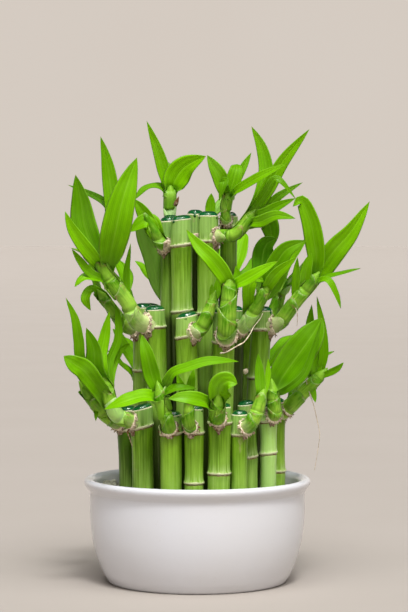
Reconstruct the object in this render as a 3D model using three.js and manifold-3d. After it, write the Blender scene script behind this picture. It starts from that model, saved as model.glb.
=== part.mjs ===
// Lucky bamboo: a three-tier tower of cut dracaena canes, each with a leafy side shoot, standing in
// gravel in a round white bowl. Millimetres, +Z up. The origin is on the bowl's axis, on the surface
// that the bowl stands on. The front of the arrangement faces -Y.
import * as THREE from "three";
import { mergeVertices } from "three/addons/utils/BufferGeometryUtils.js";
import Module from "manifold-3d";

const wasm = await Module();
wasm.setup();

// Clearance between pieces that rest against each other.
const GAP = 0.3;

// Bowl: foot, belly, neck and the rolled flange of the rim.
const BOWL_SIDES = 32;
const FOOT_RADIUS = 48;
const BELLY_RADIUS = 60.3;
const RIM_RADIUS = 63.5;
const RIM_TOP = 58.4;
const FLOOR_TOP = 5.5;
const WALL = 4.8;

// Gravel: its level surface, the heap at the left and the unevenness of the pebbles.
const GRAVEL_TOP = 50;
const HEAP_HEIGHT = 4;
const PEBBLE_HEIGHT = 0.7;

// Canes: their feet stand deep in the gravel, on a bed of it.
const CANE_SIDES = 8;
const CANE_FOOT = 13;
const NODE_RING = 0.7;
const NODE_HALF_HEIGHT = 1.3;
const RIM_WIDTH = 0.9;
const WAX_SHOULDER = 1.8;
const WAX_DOME = 2.6;
const CLUSTER_X = 3;

// Shoots: sides of a stem, thickness of a leaf along its midrib, and how far its halves fold up.
const STEM_SIDES = 7;
const LEAF_THICKNESS = 1.2;
const LEAF_FOLD = THREE.MathUtils.degToRad(14);

const CANE_FINISH = { color: 0x86b13c, roughness: 0.42, metalness: 0 };
const SHOOT_FINISH = { color: 0x69a80c, roughness: 0.38, metalness: 0 };
const BOWL_FINISH = { color: 0xe2e0e2, roughness: 0.16, metalness: 0 };
const GRAVEL_FINISH = { color: 0xb4b49a, roughness: 0.6, metalness: 0 };

// A point of a ring of canes: its distance from the cluster's axis, and its angle from the front.
function around(radius, degrees) {
  const angle = THREE.MathUtils.degToRad(degrees);
  return [CLUSTER_X + radius * Math.sin(angle), -radius * Math.cos(angle)];
}

// Canes of the three tiers, each listed from the left side, through the front, to the back. The
// columns are the place of the buried end, the place of the cut top, the height of the cut, the
// cane's width, the rise of the cut and of the nodes per mm along +X, and the heights of the raised
// rings at the nodes, with the one that carries the shoot first.
const CANE_ROWS = {
  lower_cane_01: [[-37, -10], [-39, -11], 97, 11.4, 0.1, [86]],
  lower_cane_02: [[-29, -26], [-30.6, -27], 99.2, 12, 0.25, [89]],
  lower_cane_03: [[-14.2, -37.8], [-14.2, -38.2], 96.4, 12, 0.1, [86.4]],
  lower_cane_04: [[-1.9, -41.2], [-1.6, -41.4], 100.2, 10.6, 0, [87.2, 59.8]],
  lower_cane_05: [[11, -40.6], [12.4, -41], 101.3, 12.4, 0, [92.6, 65]],
  lower_cane_06: [[22.5, -36.6], [23, -36.8], 96.8, 9.4, 0, [85.7]],
  lower_cane_07: [[29.4, -26.6], [27, -26], 101.3, 10.4, 0.1, [92, 72.5]],
  lower_cane_08: [[39, -20], [39.3, -20.3], 100, 9.4, 0.1, [91.8, 73.9]],
  lower_cane_09: [[43.6, -6], [44, -6], 101, 10.4, 0, [92.3, 62.5]],
  lower_cane_10: [around(41.5, 115), around(43, 115), 98, 11.6, 0, [87]],
  lower_cane_11: [around(41.5, 149), around(43, 149), 101, 11, 0.1, [90]],
  lower_cane_12: [around(41.5, 183), around(43, 183), 97, 12, -0.1, [86]],
  lower_cane_13: [around(41.5, 217), around(43, 217), 100, 11.4, 0.1, [89]],
  lower_cane_14: [around(41.5, 251), around(43, 251), 98, 11.2, 0, [87]],
  middle_cane_01: [[-31.5, 1.5], [-30.3, 1.5], 153.6, 11, 0, [140.5, 118.3]],
  middle_cane_02: [[-19, -14], [-23.5, -20.5], 153.2, 12, 0.05, [143.6]],
  middle_cane_03: [[-5, -25], [-5.7, -31], 150.1, 12, 0.2, [139.2]],
  middle_cane_04: [[12.5, -23], [14.6, -30.5], 152.3, 12.4, 0, [135.9]],
  middle_cane_05: [[20, -13], [20.8, -19.5], 152.9, 10, 0, [139.7]],
  middle_cane_06: [[26.5, -3.5], [36.5, -8], 152.2, 11.6, 0, [141.9, 114.7]],
  middle_cane_07: [around(26, 117), around(31.5, 117), 151, 12.6, 0, [140]],
  middle_cane_08: [around(27.5, 160), around(33, 160), 154, 11.6, 0.1, [142]],
  middle_cane_09: [around(27.5, 203), around(33, 203), 150, 11.2, 0, [139]],
  middle_cane_10: [around(27.5, 240), around(33, 240), 153, 11, -0.1, [142]],
  tall_cane_01: [[-14.7, -2.7], [-16.2, -4.8], 202, 9.4, 0.08, [185.8]],
  tall_cane_02: [[-6.7, -10.5], [-9, -14], 202.8, 12, 0.12, [188.7, 152.1]],
  tall_cane_03: [[5.8, -11], [6, -14], 205, 12.2, 0, [190.9, 150.8]],
  tall_cane_04: [[14.6, -2.8], [17.7, -6.5], 204.7, 10, 0, [199]],
  tall_cane_05: [[-1, 5], [-1.2, 4], 205.9, 10, 0, [193.5]],
  tall_cane_06: [[-11.5, 7], [-15, 7.5], 203, 10, 0, [191.5]],
};
const CANES = Object.fromEntries(
  Object.entries(CANE_ROWS).map(([name, [foot, head, top, width, slope, nodes]]) => [
    name,
    { foot, head, top, width, slope, nodes },
  ]),
);

// Shoots that show from the front, each on its cane. stem lists points of the stem's axis, starting
// inside the cane, and radii its radius at each. A leaf is [start, width, azimuth, elevation, points]:
// start is where it leaves the stem (1 is the stem's end), azimuth and elevation tell where its upper
// face looks (0, 0 is to the front, azimuth 90 is to the right), and points lead to its tip.
const SHOOTS = {
  lower_shoot_01: {
    cane: "lower_cane_01",
    stem: [[-38, -10.5, 88.5], [-47.5, -20, 93], [-55.5, -27, 102], [-60.5, -31, 109]],
    radii: [4, 4.4, 4.2, 3.4],
    leaves: [
      [1, 5, -30, 10, [[-62, -32, 113], [-62.5, -32, 118]]],
      [0.66, 2.6, 0, 0, [[-55.5, -31, 92.5]]],
      [1, 8, -90, 10, [[-59, -20, 122], [-59.5, -8, 137]]],
    ],
  },
  lower_shoot_02: {
    cane: "lower_cane_02",
    stem: [[-30, -26.5, 91], [-38, -31, 93], [-45, -34.5, 97.5], [-49.5, -37, 111.5]],
    radii: [4.4, 4.4, 4.4, 3.6],
    leaves: [
      [1, 6, 0, 10, [[-62, -44, 125], [-64, -47, 138], [-66, -47, 149.5], [-71, -46, 161]]],
      [1, 10, -10, 10, [[-55, -41, 122], [-56, -43, 133], [-60, -43, 144.5]]],
      [1, 7, 15, 10, [[-52.5, -35, 127], [-50.5, -32, 140], [-48, -30, 153]]],
      [0.8, 5, 10, 0, [[-48, -30, 124], [-43.5, -28, 137], [-43.5, -27, 149], [-45, -27, 157]]],
      [0.75, 12, -20, 30, [[-59, -46, 119], [-66, -50, 125], [-72, -50, 129.5]]],
      [0.85, 4, 30, 0, [[-46.5, -29, 120], [-42, -22, 131], [-37, -17, 134.5]]],
    ],
  },
  lower_shoot_03: {
    cane: "lower_cane_03",
    stem: [[-14.3, -38.5, 88], [-15.5, -45.5, 90.5], [-17.5, -48.5, 99], [-19.8, -49, 108.5]],
    radii: [4.2, 4.2, 3.8, 3.4],
    leaves: [
      [0.9, 11, -15, 45, [[-29, -54, 107.5], [-38, -57.5, 105.5], [-50, -56.5, 101]]],
      [1, 9.5, -5, 5, [[-24, -48.5, 118], [-27, -50, 130], [-30, -47, 141]]],
      [1, 7, 10, 40,
        [[-13.5, -53, 119.5], [-5, -55, 123.5], [4.5, -55, 126.5], [13.5, -54, 127], [22.5, -51, 126.5]]],
      [0.95, 6, 0, 45, [[-12, -55, 112.3], [-0.5, -56, 112.3]]],
    ],
  },
  lower_shoot_04: {
    cane: "lower_cane_04",
    stem: [[-2, -41.8, 89], [-4, -48.5, 91.5], [-4.6, -50.5, 98], [-4.5, -50, 104.5]],
    radii: [3.6, 3.4, 3, 2.6],
    leaves: [
      [1, 5, 0, 5, [[-3.5, -49.5, 113.5], [-1.8, -47.5, 122.5]]],
      [1, 5, -30, 10, [[-8, -47.5, 112], [-11, -44.5, 120]]],
    ],
  },
  lower_shoot_05: {
    cane: "lower_cane_05",
    stem: [[12, -41.5, 94.5], [11, -50, 96.5], [11, -54, 103.5]],
    radii: [4.2, 4.2, 3.6],
    leaves: [
      [0.9, 8.5, 0, 25, [[1, -61.5, 106.5], [-7, -64, 108], [-15.5, -64, 107.5]]],
      [1, 14, 10, 10, [[12, -60, 112.5], [16, -63, 116.5], [21.5, -64, 115.5]]],
    ],
  },
  lower_shoot_06: {
    cane: "lower_cane_06",
    stem: [[23.5, -37.5, 88], [28.5, -42.5, 91.5], [32, -43, 98], [34.5, -41.5, 105]],
    radii: [4, 4, 3.8, 3.4],
    leaves: [
      [1, 6, 0, 0, [[34, -39, 117], [33.2, -35.5, 130]]],
      [1, 4, 20, 0, [[38, -37.5, 115.5], [38.7, -35, 127.5]]],
    ],
  },
  lower_shoot_08: {
    cane: "lower_cane_08",
    stem: [[39.5, -20.5, 93.5], [42.5, -26, 96], [42, -28, 102], [41.5, -28, 108]],
    radii: [4, 4, 3.8, 3.4],
    leaves: [
      [1, 19, -10, 5, [[48.5, -26.5, 119], [57, -27.5, 131], [64, -26.5, 141], [68.5, -25, 149]]],
      [0.9, 4.5, 0, 5, [[50, -34, 111], [58.5, -35.5, 119], [63.5, -34, 132], [67.8, -32.5, 148]]],
    ],
  },
  lower_shoot_09: {
    cane: "lower_cane_09",
    stem: [[44, -6.5, 94], [49, -8, 96.5], [56, -10, 103.5], [67, -12, 115]],
    radii: [4.4, 4.4, 4.2, 3.4],
    leaves: [
      [1, 5.5, 0, 0, [[70, -13.5, 127.5], [69.2, -14, 143], [66.3, -12.5, 160.5]]],
      [0.9, 7, -20, 0, [[65, -7, 125], [63.3, -4, 141.5], [64, -3, 155.5]]],
      [1, 4, 30, 20, [[76, -16, 119.5], [81, -18, 124]]],
      [0.9, 3.5, 0, 0, [[65.5, -16, 101.5]]],
      [0.95, 6.5, 0, 5, [[66.5, -12, 124], [68.3, -11, 134.5]]],
    ],
  },
  middle_shoot_01: {
    cane: "middle_cane_01",
    stem: [[-31, 1.5, 141.5], [-40, -5.5, 143.5], [-46.5, -13, 152.5], [-52, -18, 160]],
    radii: [4, 4, 3.4, 2.8],
    leaves: [
      [1, 7, -30, 30, [[-58, -22, 164], [-61, -25, 159.5], [-58.5, -26, 153]]],
      [1, 6, -60, 10, [[-57, -12, 172], [-60, -6, 186]]],
      [0.7, 5, -90, 10, [[-52, -6, 160], [-56, 2, 172]]],
    ],
  },
  middle_shoot_02: {
    cane: "middle_cane_02",
    stem: [[-24, -21, 145], [-32.5, -27, 147], [-38.5, -30, 158], [-46, -32, 167.5], [-51, -33, 175]],
    radii: [5, 5, 4.2, 4, 3.6],
    leaves: [
      [1, 15, -15, 5, [[-56.5, -30, 186], [-61.5, -28, 200], [-63.5, -28, 213.5], [-66.5, -28, 227.5]]],
      [1, 8, -10, 10, [[-56, -40, 182], [-61.5, -43, 189], [-67.5, -44, 198], [-71.5, -43, 207.5]]],
      [0.9, 16.5, 5, 5,
        [[-46.5, -41, 186.5], [-44, -46, 197], [-41, -47, 210.5], [-37, -45, 224], [-32.5, -42, 236.5]]],
      [0.95, 9.5, 10, 0,
        [[-46, -29, 190], [-46, -26, 206], [-48, -24.5, 224], [-50, -24, 236.5], [-53, -24, 248.5]]],
      [0.95, 4.5, 0, 10, [[-44.5, -26, 200], [-50, -22, 211.5], [-60, -19, 217.5], [-71.5, -17, 222]]],
      [0.8, 5, -10, 20, [[-57, -38, 173], [-63, -40, 180], [-68, -40, 187]]],
      [0.75, 7, -30, 40, [[-59.5, -39, 171.5], [-66.5, -41, 166.5]]],
      [0.45, 4, 20, 0, [[-39, -26, 172], [-36.5, -24.5, 190]]],
    ],
  },
  middle_shoot_03: {
    cane: "middle_cane_03",
    stem: [[-4.8, -32, 140.5], [1.5, -37, 143.5], [5.5, -38.5, 151], [8, -38, 158.5]],
    radii: [4.6, 4.4, 3.6, 2.8],
    leaves: [
      [1, 3.5, 0, 0, [[8, -37.5, 168]]],
      [1, 5, 10, 0, [[10.5, -36.5, 164], [11, -35.5, 171.5]]],
    ],
  },
  middle_shoot_04: {
    cane: "middle_cane_04",
    stem: [[15, -32, 137.5], [16, -41, 142.5], [16.5, -43, 154], [17.5, -43, 166]],
    radii: [5.4, 5.4, 4.8, 3.8],
    leaves: [
      [1, 9.5, -10, 15, [[15, -45, 172], [8.5, -46.5, 181], [1, -44.5, 188.5], [-6, -40, 197.5]]],
      [1, 4.5, 0, 0, [[21.5, -41.5, 172], [21, -41, 178]]],
      [1, 8, 10, 35, [[25, -45, 169.5], [33.5, -46.5, 174.5], [43.5, -47, 180.5]]],
    ],
  },
  middle_shoot_05: {
    cane: "middle_cane_05",
    stem: [[21, -20.5, 141.5], [26.5, -26, 145.5], [32, -29, 154.5], [37, -31, 164]],
    radii: [4, 4, 3.6, 3],
    leaves: [
      [1, 11, 0, 5, [[41, -33.5, 174.5], [48, -36, 186], [59.5, -35, 191.5]]],
      [0.95, 7, 10, 15, [[42.5, -37.5, 172.5], [54, -41, 182.5]]],
      [0.85, 7.5, 10, 0, [[41.5, -28.5, 165.5], [49.5, -27, 176.5]]],
      [0.45, 7.5, 0, 0, [[28, -33, 164], [31, -34, 171], [36.5, -34, 169]]],
      [0.9, 12, 0, 5, [[35.6, -24, 179.5], [37.8, -24, 188.8], [43.8, -24, 192.7]]],
    ],
  },
  middle_shoot_06: {
    cane: "middle_cane_06",
    stem: [[37.5, -8.5, 143.5], [45.5, -10.5, 145.5], [53.5, -12, 156], [63, -14, 168]],
    radii: [4.6, 4.4, 4, 3.6],
    leaves: [
      [1, 11, -10, 10,
        [[66, -16, 179], [64.5, -19, 192], [62, -20, 203], [57.5, -20, 213], [52.5, -21, 210]]],
      [1, 13.5, 15, 5, [[67, -11, 173.5], [76, -15, 186], [85, -16, 196.5], [95.4, -14, 213]]],
      [0.95, 5, 0, 60, [[72, -17, 171], [79.5, -19, 173], [90, -20, 176]]],
      [1, 4.5, 20, 30, [[71.5, -21, 169.5], [76, -23, 162.5], [79, -23, 154]]],
      [0.85, 7, -20, 0, [[60.5, -17, 175], [63, -18, 184.5]]],
      [0.7, 5.5, -30, 0, [[55, -14.5, 170], [55.5, -15, 182]]],
    ],
  },
  tall_shoot_01: {
    cane: "tall_cane_01",
    stem: [[-18, -8.4, 188], [-20.4, -13.4, 190.5], [-23.4, -15, 196], [-27, -15, 201.5]],
    radii: [3.6, 3.7, 3, 2.2],
    leaves: [
      [0.3, 9, -20, 5, [[-28, -15, 204], [-34.6, -13, 214.2]]],
      [0.3, 11, -20, 30, [[-27, -17, 201.5], [-37.5, -16, 196]]],
      [0.4, 5.5, 0, 0, [[-25, -7.5, 202], [-30.5, -5, 210]]],
      [0.9, 13, 170, 45,
        [[-29, -7, 200], [-28, 0, 191], [-24.7, 1.4, 178], [-22.6, 1.8, 166], [-20.8, 1, 157.5]]],
    ],
  },
  tall_shoot_03: {
    cane: "tall_cane_03",
    stem: [[6.5, -15, 193.5], [13.5, -19.5, 194], [21, -21.5, 195], [29, -21, 204.5]],
    radii: [3.9, 3.7, 3.4, 3],
    leaves: [
      [1, 8.5, -5, 0, [[35.5, -19, 218], [38, -16, 230], [35.5, -13, 243], [30, -11, 254.5]]],
      [1, 8.5, 10, 0, [[38, -22, 219], [47.5, -23, 235.5], [61.5, -25, 252.5]]],
      [1, 5, 20, 20, [[37, -26, 217], [43.5, -28, 225], [54, -30, 214]]],
      [0.95, 5.5, 10, 10, [[38, -15, 209], [45.5, -13, 216], [58.5, -12, 223.5]]],
      [1, 7, 0, 20, [[36, -28, 205.5], [43, -33, 209.5], [53.5, -37, 214.5]]],
      [0.9, 7, 0, 15, [[34, -31, 201.5], [43, -38, 205], [53.3, -42, 203.5]]],
      [0.85, 11, 0, 0, [[37, -15, 203], [41, -12.5, 196], [40, -12, 185]]],
    ],
  },
  tall_shoot_04: {
    cane: "tall_cane_04",
    stem: [[17, -8, 200], [16, -13.5, 203.5], [15.5, -14.5, 209], [16.5, -15, 214]],
    radii: [3.2, 2.8, 2.8, 2.6],
    leaves: [
      [1, 9, 0, 5, [[19, -17.5, 221], [21.5, -16, 230], [22, -10, 233.5]]],
      [1, 9, -5, 5, [[12.5, -15, 226.5], [5.5, -13, 238.5]]],
      [1, 6, -20, 20, [[15, -21, 223], [14.5, -24, 222], [12, -25, 213]]],
      [1, 5, 0, 0, [[23.5, -12, 228], [30, -9, 240]]],
      [1, 7, 5, 35, [[24, -25, 220], [35, -31.5, 226.5], [49, -35, 233.5]]],
    ],
  },
  tall_shoot_05: {
    cane: "tall_cane_05",
    stem: [[-1, 5, 195.5], [4, 11, 197.5], [7, 14.5, 203]],
    radii: [3.4, 3.2, 2.4],
    leaves: [
      [1, 6, 0, 0, [[8, 15.5, 217.7]]],
      [1, 6, 180, 20, [[14, 22, 212], [20, 30, 219]]],
      [1, 5, 90, 20, [[16, 14, 212], [24, 14, 220]]],
    ],
  },
  tall_shoot_06: {
    cane: "tall_cane_06",
    stem: [[-14.8, 8, 193.5], [-15, 14.5, 197], [-15.2, 16.5, 207], [-15.2, 16.5, 217]],
    radii: [3.6, 3.6, 3.3, 3],
    leaves: [
      [1, 7.5, 0, 5, [[-18.5, 16, 229], [-22, 15, 241], [-28.5, 13, 258.5]]],
      [1, 15, 5, 10, [[-12, 15, 226], [-6, 13, 233], [5, 8, 238.5]]],
      [0.95, 8, 0, 65, [[-22, 16, 221], [-29, 16, 220], [-36, 15, 213.5]]],
      [1, 4, -20, 0, [[-20.5, 18, 226.5]]],
      [1, 9, 170, 20, [[-16, 26, 228], [-18, 38, 236]]],
    ],
  },
};

// Shoots of the back, which follow one rule: the angle that each shoot grows towards, and its size.
const BACK_SHOOTS = {
  lower_shoot_10: { cane: "lower_cane_10", towards: 112, size: 0.8, hand: 1 },
  lower_shoot_11: { cane: "lower_cane_11", towards: 147, size: 0.9, hand: -1 },
  lower_shoot_12: { cane: "lower_cane_12", towards: 182, size: 0.8, hand: 1 },
  lower_shoot_13: { cane: "lower_cane_13", towards: 217, size: 0.9, hand: -1 },
  lower_shoot_14: { cane: "lower_cane_14", towards: 252, size: 0.7, hand: 1 },
  middle_shoot_07: { cane: "middle_cane_07", towards: 112, size: 0.95, hand: -1 },
  middle_shoot_08: { cane: "middle_cane_08", towards: 167, size: 0.95, hand: 1 },
  middle_shoot_09: { cane: "middle_cane_09", towards: 203, size: 0.95, hand: -1 },
  middle_shoot_10: { cane: "middle_cane_10", towards: 247, size: 0.9, hand: 1 },
};
const BACK_STEM_OUT = [0, 9, 15, 18];
const BACK_STEM_UP = [0, 2.5, 11, 20];
const BACK_STEM_RADII = [4.2, 4.2, 3.7, 3.2];
// Each leaf of a back shoot: swing from the shoot's own direction, length, steepness and width.
const BACK_LEAVES = [
  { swing: -26, length: 28, steep: 1.1, width: 8 },
  { swing: -9, length: 42, steep: 1.5, width: 10 },
  { swing: 8, length: 46, steep: 0.8, width: 12 },
  { swing: 26, length: 32, steep: 1.2, width: 8.5 },
  { swing: 42, length: 24, steep: 0.6, width: 8 },
];

const vector = (point) => new THREE.Vector3(...point);

// A closed surface from rings of points with the same count; a ring of one point closes an end.
function loft(rings) {
  const points = rings.flat();
  const faces = [];
  let start = 0;
  rings.slice(0, -1).forEach((ring, index) => {
    const next = rings[index + 1];
    const nextStart = start + ring.length;
    const count = Math.max(ring.length, next.length);
    for (let side = 0; side < count; side += 1) {
      const after = (side + 1) % count;
      const [a, b] = ring.length > 1 ? [start + side, start + after] : [start, start];
      const [c, d] = next.length > 1 ? [nextStart + side, nextStart + after] : [nextStart, nextStart];
      if (ring.length > 1) {
        faces.push(a, b, c);
      }
      if (next.length > 1) {
        faces.push(b, d, c);
      }
    }
    start = nextStart;
  });
  const geometry = new THREE.BufferGeometry();
  const positions = points.flatMap((point) => point.toArray());
  geometry.setAttribute("position", new THREE.Float32BufferAttribute(positions, 3));
  geometry.setIndex(faces);
  return geometry;
}

function toSolid(geometry) {
  const bare = geometry.clone();
  bare.deleteAttribute("normal");
  bare.deleteAttribute("uv");
  const merged = mergeVertices(bare, 1e-4);
  return new wasm.Manifold(
    new wasm.Mesh({
      numProp: 3,
      vertProperties: new Float32Array(merged.attributes.position.array),
      triVerts: new Uint32Array(merged.index.array),
    }),
  );
}

function toGeometry(solid) {
  const mesh = solid.getMesh();
  const geometry = new THREE.BufferGeometry();
  geometry.setAttribute("position", new THREE.BufferAttribute(mesh.vertProperties, 3));
  geometry.setIndex(new THREE.BufferAttribute(mesh.triVerts, 1));
  return geometry;
}

function largestPiece(solid) {
  const pieces = solid.decompose();
  return pieces.reduce((best, piece) => (piece.volume() > best.volume() ? piece : best));
}

function turnedGeometry(profile) {
  const outline = profile.map(([radius, height]) => new THREE.Vector2(radius, height));
  const geometry = new THREE.LatheGeometry(outline, BOWL_SIDES);
  geometry.rotateX(Math.PI / 2);
  return geometry;
}

// The bowl's inner face from the centre of its floor up to the rim.
const INNER_FACE = [
  [0, FLOOR_TOP],
  [40, FLOOR_TOP],
  [46.5, 7.2],
  [51.2, 12.5],
  [BELLY_RADIUS - WALL - 1.6, 22],
  [BELLY_RADIUS - WALL, 36],
  [BELLY_RADIUS - WALL + 0.3, 47],
  [57.1, 54],
  [57.6, 56.3],
];

function bowlGeometry() {
  const outerFace = [
    [59, RIM_TOP - 0.6],
    [61.4, RIM_TOP],
    [62.8, RIM_TOP - 0.5],
    [RIM_RADIUS, RIM_TOP - 1.9],
    [63.2, 54.8],
    [61.8, 52.6],
    [BELLY_RADIUS, 50],
    [BELLY_RADIUS, 42],
    [59.9, 33],
    [58.6, 23],
    [56.1, 13.5],
    [52.6, 5.2],
    [50.2, 0.8],
    [FOOT_RADIUS, 0],
    [0, 0],
  ];
  return turnedGeometry([...INNER_FACE, ...outerFace].reverse());
}

// An uneven height for the pebbles, the same at every build.
function pebbleHeight(x, y) {
  const wave = Math.sin(x * 12.9898 + y * 78.233) * 43758.5453;
  return PEBBLE_HEIGHT * (2 * (wave - Math.floor(wave)) - 1);
}

function gravelSurface(x, y) {
  const heap = HEAP_HEIGHT * THREE.MathUtils.smoothstep(-x, 28, 54);
  return GRAVEL_TOP + heap + pebbleHeight(x, y);
}

function gravelGeometry() {
  const wall = INNER_FACE.slice(1, 7).map(([radius, height]) => [radius - GAP, height + GAP]);
  const surfaceRadii = [55.2, 46, 32];
  const profile = [[0, FLOOR_TOP + GAP], ...wall, ...surfaceRadii.map((r) => [r, GRAVEL_TOP])];
  const geometry = turnedGeometry([...profile, [0, GRAVEL_TOP]]);
  const position = geometry.attributes.position;
  for (let index = 0; index < position.count; index += 1) {
    if (position.getZ(index) > GRAVEL_TOP - 1) {
      const x = Math.round(position.getX(index) * 1000) / 1000;
      const y = Math.round(position.getY(index) * 1000) / 1000;
      position.setZ(index, gravelSurface(x, y));
    }
  }
  return geometry;
}

// The axis of a cane at a height, on the straight line through its foot and its head.
function caneCentre(cane, height) {
  const share = (height - CANE_FOOT) / (cane.top - CANE_FOOT);
  return cane.foot.map((from, axis) => from + share * (cane.head[axis] - from));
}

function caneRing(cane, height, radius, slope) {
  const [x, y] = caneCentre(cane, height);
  return Array.from({ length: CANE_SIDES }, (_, side) => {
    const angle = (side / CANE_SIDES) * 2 * Math.PI;
    const across = radius * Math.cos(angle);
    return new THREE.Vector3(x + across, y + radius * Math.sin(angle), height + slope * across);
  });
}

// A cane from its foot to the wax dome on its cut top. extra makes it fatter all round, for the hole
// that it stands in and for the seat of its shoot.
function caneGeometry(cane, extra = 0) {
  const radius = cane.width / 2 + extra;
  const rings = [caneRing(cane, CANE_FOOT - extra, radius, 0)];
  [...cane.nodes].sort((a, b) => a - b).forEach((height) => {
    rings.push(caneRing(cane, height - NODE_HALF_HEIGHT - extra, radius, cane.slope));
    rings.push(caneRing(cane, height, radius + NODE_RING, cane.slope));
    rings.push(caneRing(cane, height + NODE_HALF_HEIGHT + extra, radius, cane.slope));
  });
  rings.push(caneRing(cane, cane.top + extra, radius, cane.slope));
  rings.push(caneRing(cane, cane.top + extra, radius - RIM_WIDTH, cane.slope));
  rings.push(caneRing(cane, cane.top + WAX_SHOULDER + extra, radius * 0.6, cane.slope));
  const bottom = [new THREE.Vector3(...caneCentre(cane, CANE_FOOT), CANE_FOOT - extra)];
  const top = [new THREE.Vector3(...caneCentre(cane, cane.top), cane.top + WAX_DOME + extra)];
  return loft([bottom, ...rings, top]);
}

// The direction that a leaf's upper face looks in.
function facing(azimuth, elevation) {
  const turn = THREE.MathUtils.degToRad(azimuth);
  const tilt = THREE.MathUtils.degToRad(elevation);
  return new THREE.Vector3(
    Math.sin(turn) * Math.cos(tilt),
    -Math.cos(turn) * Math.cos(tilt),
    Math.sin(tilt),
  );
}

// Share of a leaf's full width at each station along it: sheathing at the base, widest before the
// middle, and drawn out to a point.
const LEAF_STATIONS = [
  [0, 0.5],
  [0.22, 0.86],
  [0.45, 1],
  [0.7, 0.8],
  [0.9, 0.36],
];
const SHORT_LEAF_STATIONS = [
  [0, 0.5],
  [0.35, 1],
  [0.75, 0.7],
];

// A leaf's section is a chevron: one edge, midrib above, other edge, midrib below.
function leafGeometry(points, width, look) {
  const curve = new THREE.CatmullRomCurve3(points, false, "catmullrom");
  const stations = points.length > 3 ? LEAF_STATIONS : SHORT_LEAF_STATIONS;
  const rings = stations.map(([along, share]) => {
    const centre = curve.getPoint(along);
    const tangent = curve.getTangent(along);
    const side = new THREE.Vector3().crossVectors(tangent, look).normalize();
    const up = new THREE.Vector3().crossVectors(side, tangent).normalize();
    const half = (width / 2) * share;
    const lift = half * Math.sin(LEAF_FOLD);
    const reach = half * Math.cos(LEAF_FOLD);
    const corner = (across, raise) =>
      centre.clone().addScaledVector(side, across).addScaledVector(up, raise);
    return [
      corner(-reach, lift),
      corner(0, LEAF_THICKNESS / 2),
      corner(reach, lift),
      corner(0, -LEAF_THICKNESS / 2),
    ];
  });
  const root = [curve.getPoint(0)];
  return loft([root, ...rings, [points[points.length - 1]]]);
}

function stemGeometry(curve, radii) {
  const count = radii.length;
  const start = curve.getPoint(0);
  const end = curve.getPoint(1);
  const outward = new THREE.Vector3(end.x - start.x, end.y - start.y, 0).normalize();
  const sideways = new THREE.Vector3(-outward.y, outward.x, 0);
  const rings = radii.map((radius, index) => {
    const along = index / (count - 1);
    const tangent = curve.getTangent(along);
    const up = new THREE.Vector3().crossVectors(tangent, sideways).normalize();
    const across = new THREE.Vector3().crossVectors(up, tangent).normalize();
    return Array.from({ length: STEM_SIDES }, (_, side) => {
      const angle = (side / STEM_SIDES) * 2 * Math.PI;
      return curve
        .getPoint(along)
        .addScaledVector(across, radius * Math.cos(angle))
        .addScaledVector(up, radius * Math.sin(angle));
    });
  });
  const cap = end.clone().addScaledVector(curve.getTangent(1), radii[count - 1]);
  return loft([[start], ...rings, [cap]]);
}

// A back shoot written out like the listed ones, from the rule.
function backShoot({ cane: caneName, towards, size, hand }) {
  const cane = CANES[caneName];
  const node = cane.nodes[0];
  const [x, y] = caneCentre(cane, node);
  const place = (angle, out, up) => {
    const turn = THREE.MathUtils.degToRad(angle);
    return [x + out * Math.sin(turn), y - out * Math.cos(turn), node + 2 + up];
  };
  const stem = BACK_STEM_OUT.map((out, index) => place(towards, out * size, BACK_STEM_UP[index] * size));
  const reach = BACK_STEM_OUT[3] * size;
  const rise = BACK_STEM_UP[3] * size;
  const leaves = BACK_LEAVES.map(({ swing, length, steep, width }) => {
    const angle = towards + hand * swing;
    const flat = (length * size) / Math.hypot(1, steep);
    const points = [0.4, 0.75, 1].map((share) => {
      const sag = 0.25 * share * share;
      return place(angle, reach + flat * share, rise + flat * steep * share * (1.2 - sag));
    });
    return [1, width * size, angle + 180, 40, points];
  });
  return { cane: caneName, stem, radii: BACK_STEM_RADII.map((radius) => radius * size), leaves };
}

// A shoot: stem and leaves as one solid, seated against its cane.
function shootGeometry({ cane, stem, radii, leaves }) {
  const curve = new THREE.CatmullRomCurve3(stem.map(vector), false, "catmullrom");
  const blades = leaves.map(([start, width, azimuth, elevation, points]) => {
    const path = [curve.getPoint(start), ...points.map(vector)];
    return toSolid(leafGeometry(path, width, facing(azimuth, elevation)));
  });
  const whole = blades.reduce((body, blade) => body.add(blade), toSolid(stemGeometry(curve, radii)));
  return toGeometry(largestPiece(whole.subtract(toSolid(caneGeometry(CANES[cane], GAP)))));
}

function piece(name, geometry, finish) {
  const mesh = new THREE.Mesh(geometry, new THREE.MeshStandardMaterial(finish));
  mesh.name = name;
  return mesh;
}

const arrangement = new THREE.Group();
arrangement.add(piece("bowl", bowlGeometry(), BOWL_FINISH));

const holes = Object.values(CANES).map((cane) => toSolid(caneGeometry(cane, GAP)));
const bed = holes.reduce((body, hole) => body.subtract(hole), toSolid(gravelGeometry()));
arrangement.add(piece("gravel", toGeometry(largestPiece(bed)), GRAVEL_FINISH));

Object.entries(CANES).forEach(([name, cane]) => {
  arrangement.add(piece(name, caneGeometry(cane), CANE_FINISH));
});

Object.entries(SHOOTS).forEach(([name, shoot]) => {
  arrangement.add(piece(name, shootGeometry(shoot), SHOOT_FINISH));
});
Object.entries(BACK_SHOOTS).forEach(([name, rule]) => {
  arrangement.add(piece(name, shootGeometry(backShoot(rule)), SHOOT_FINISH));
});

export default arrangement;
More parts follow.
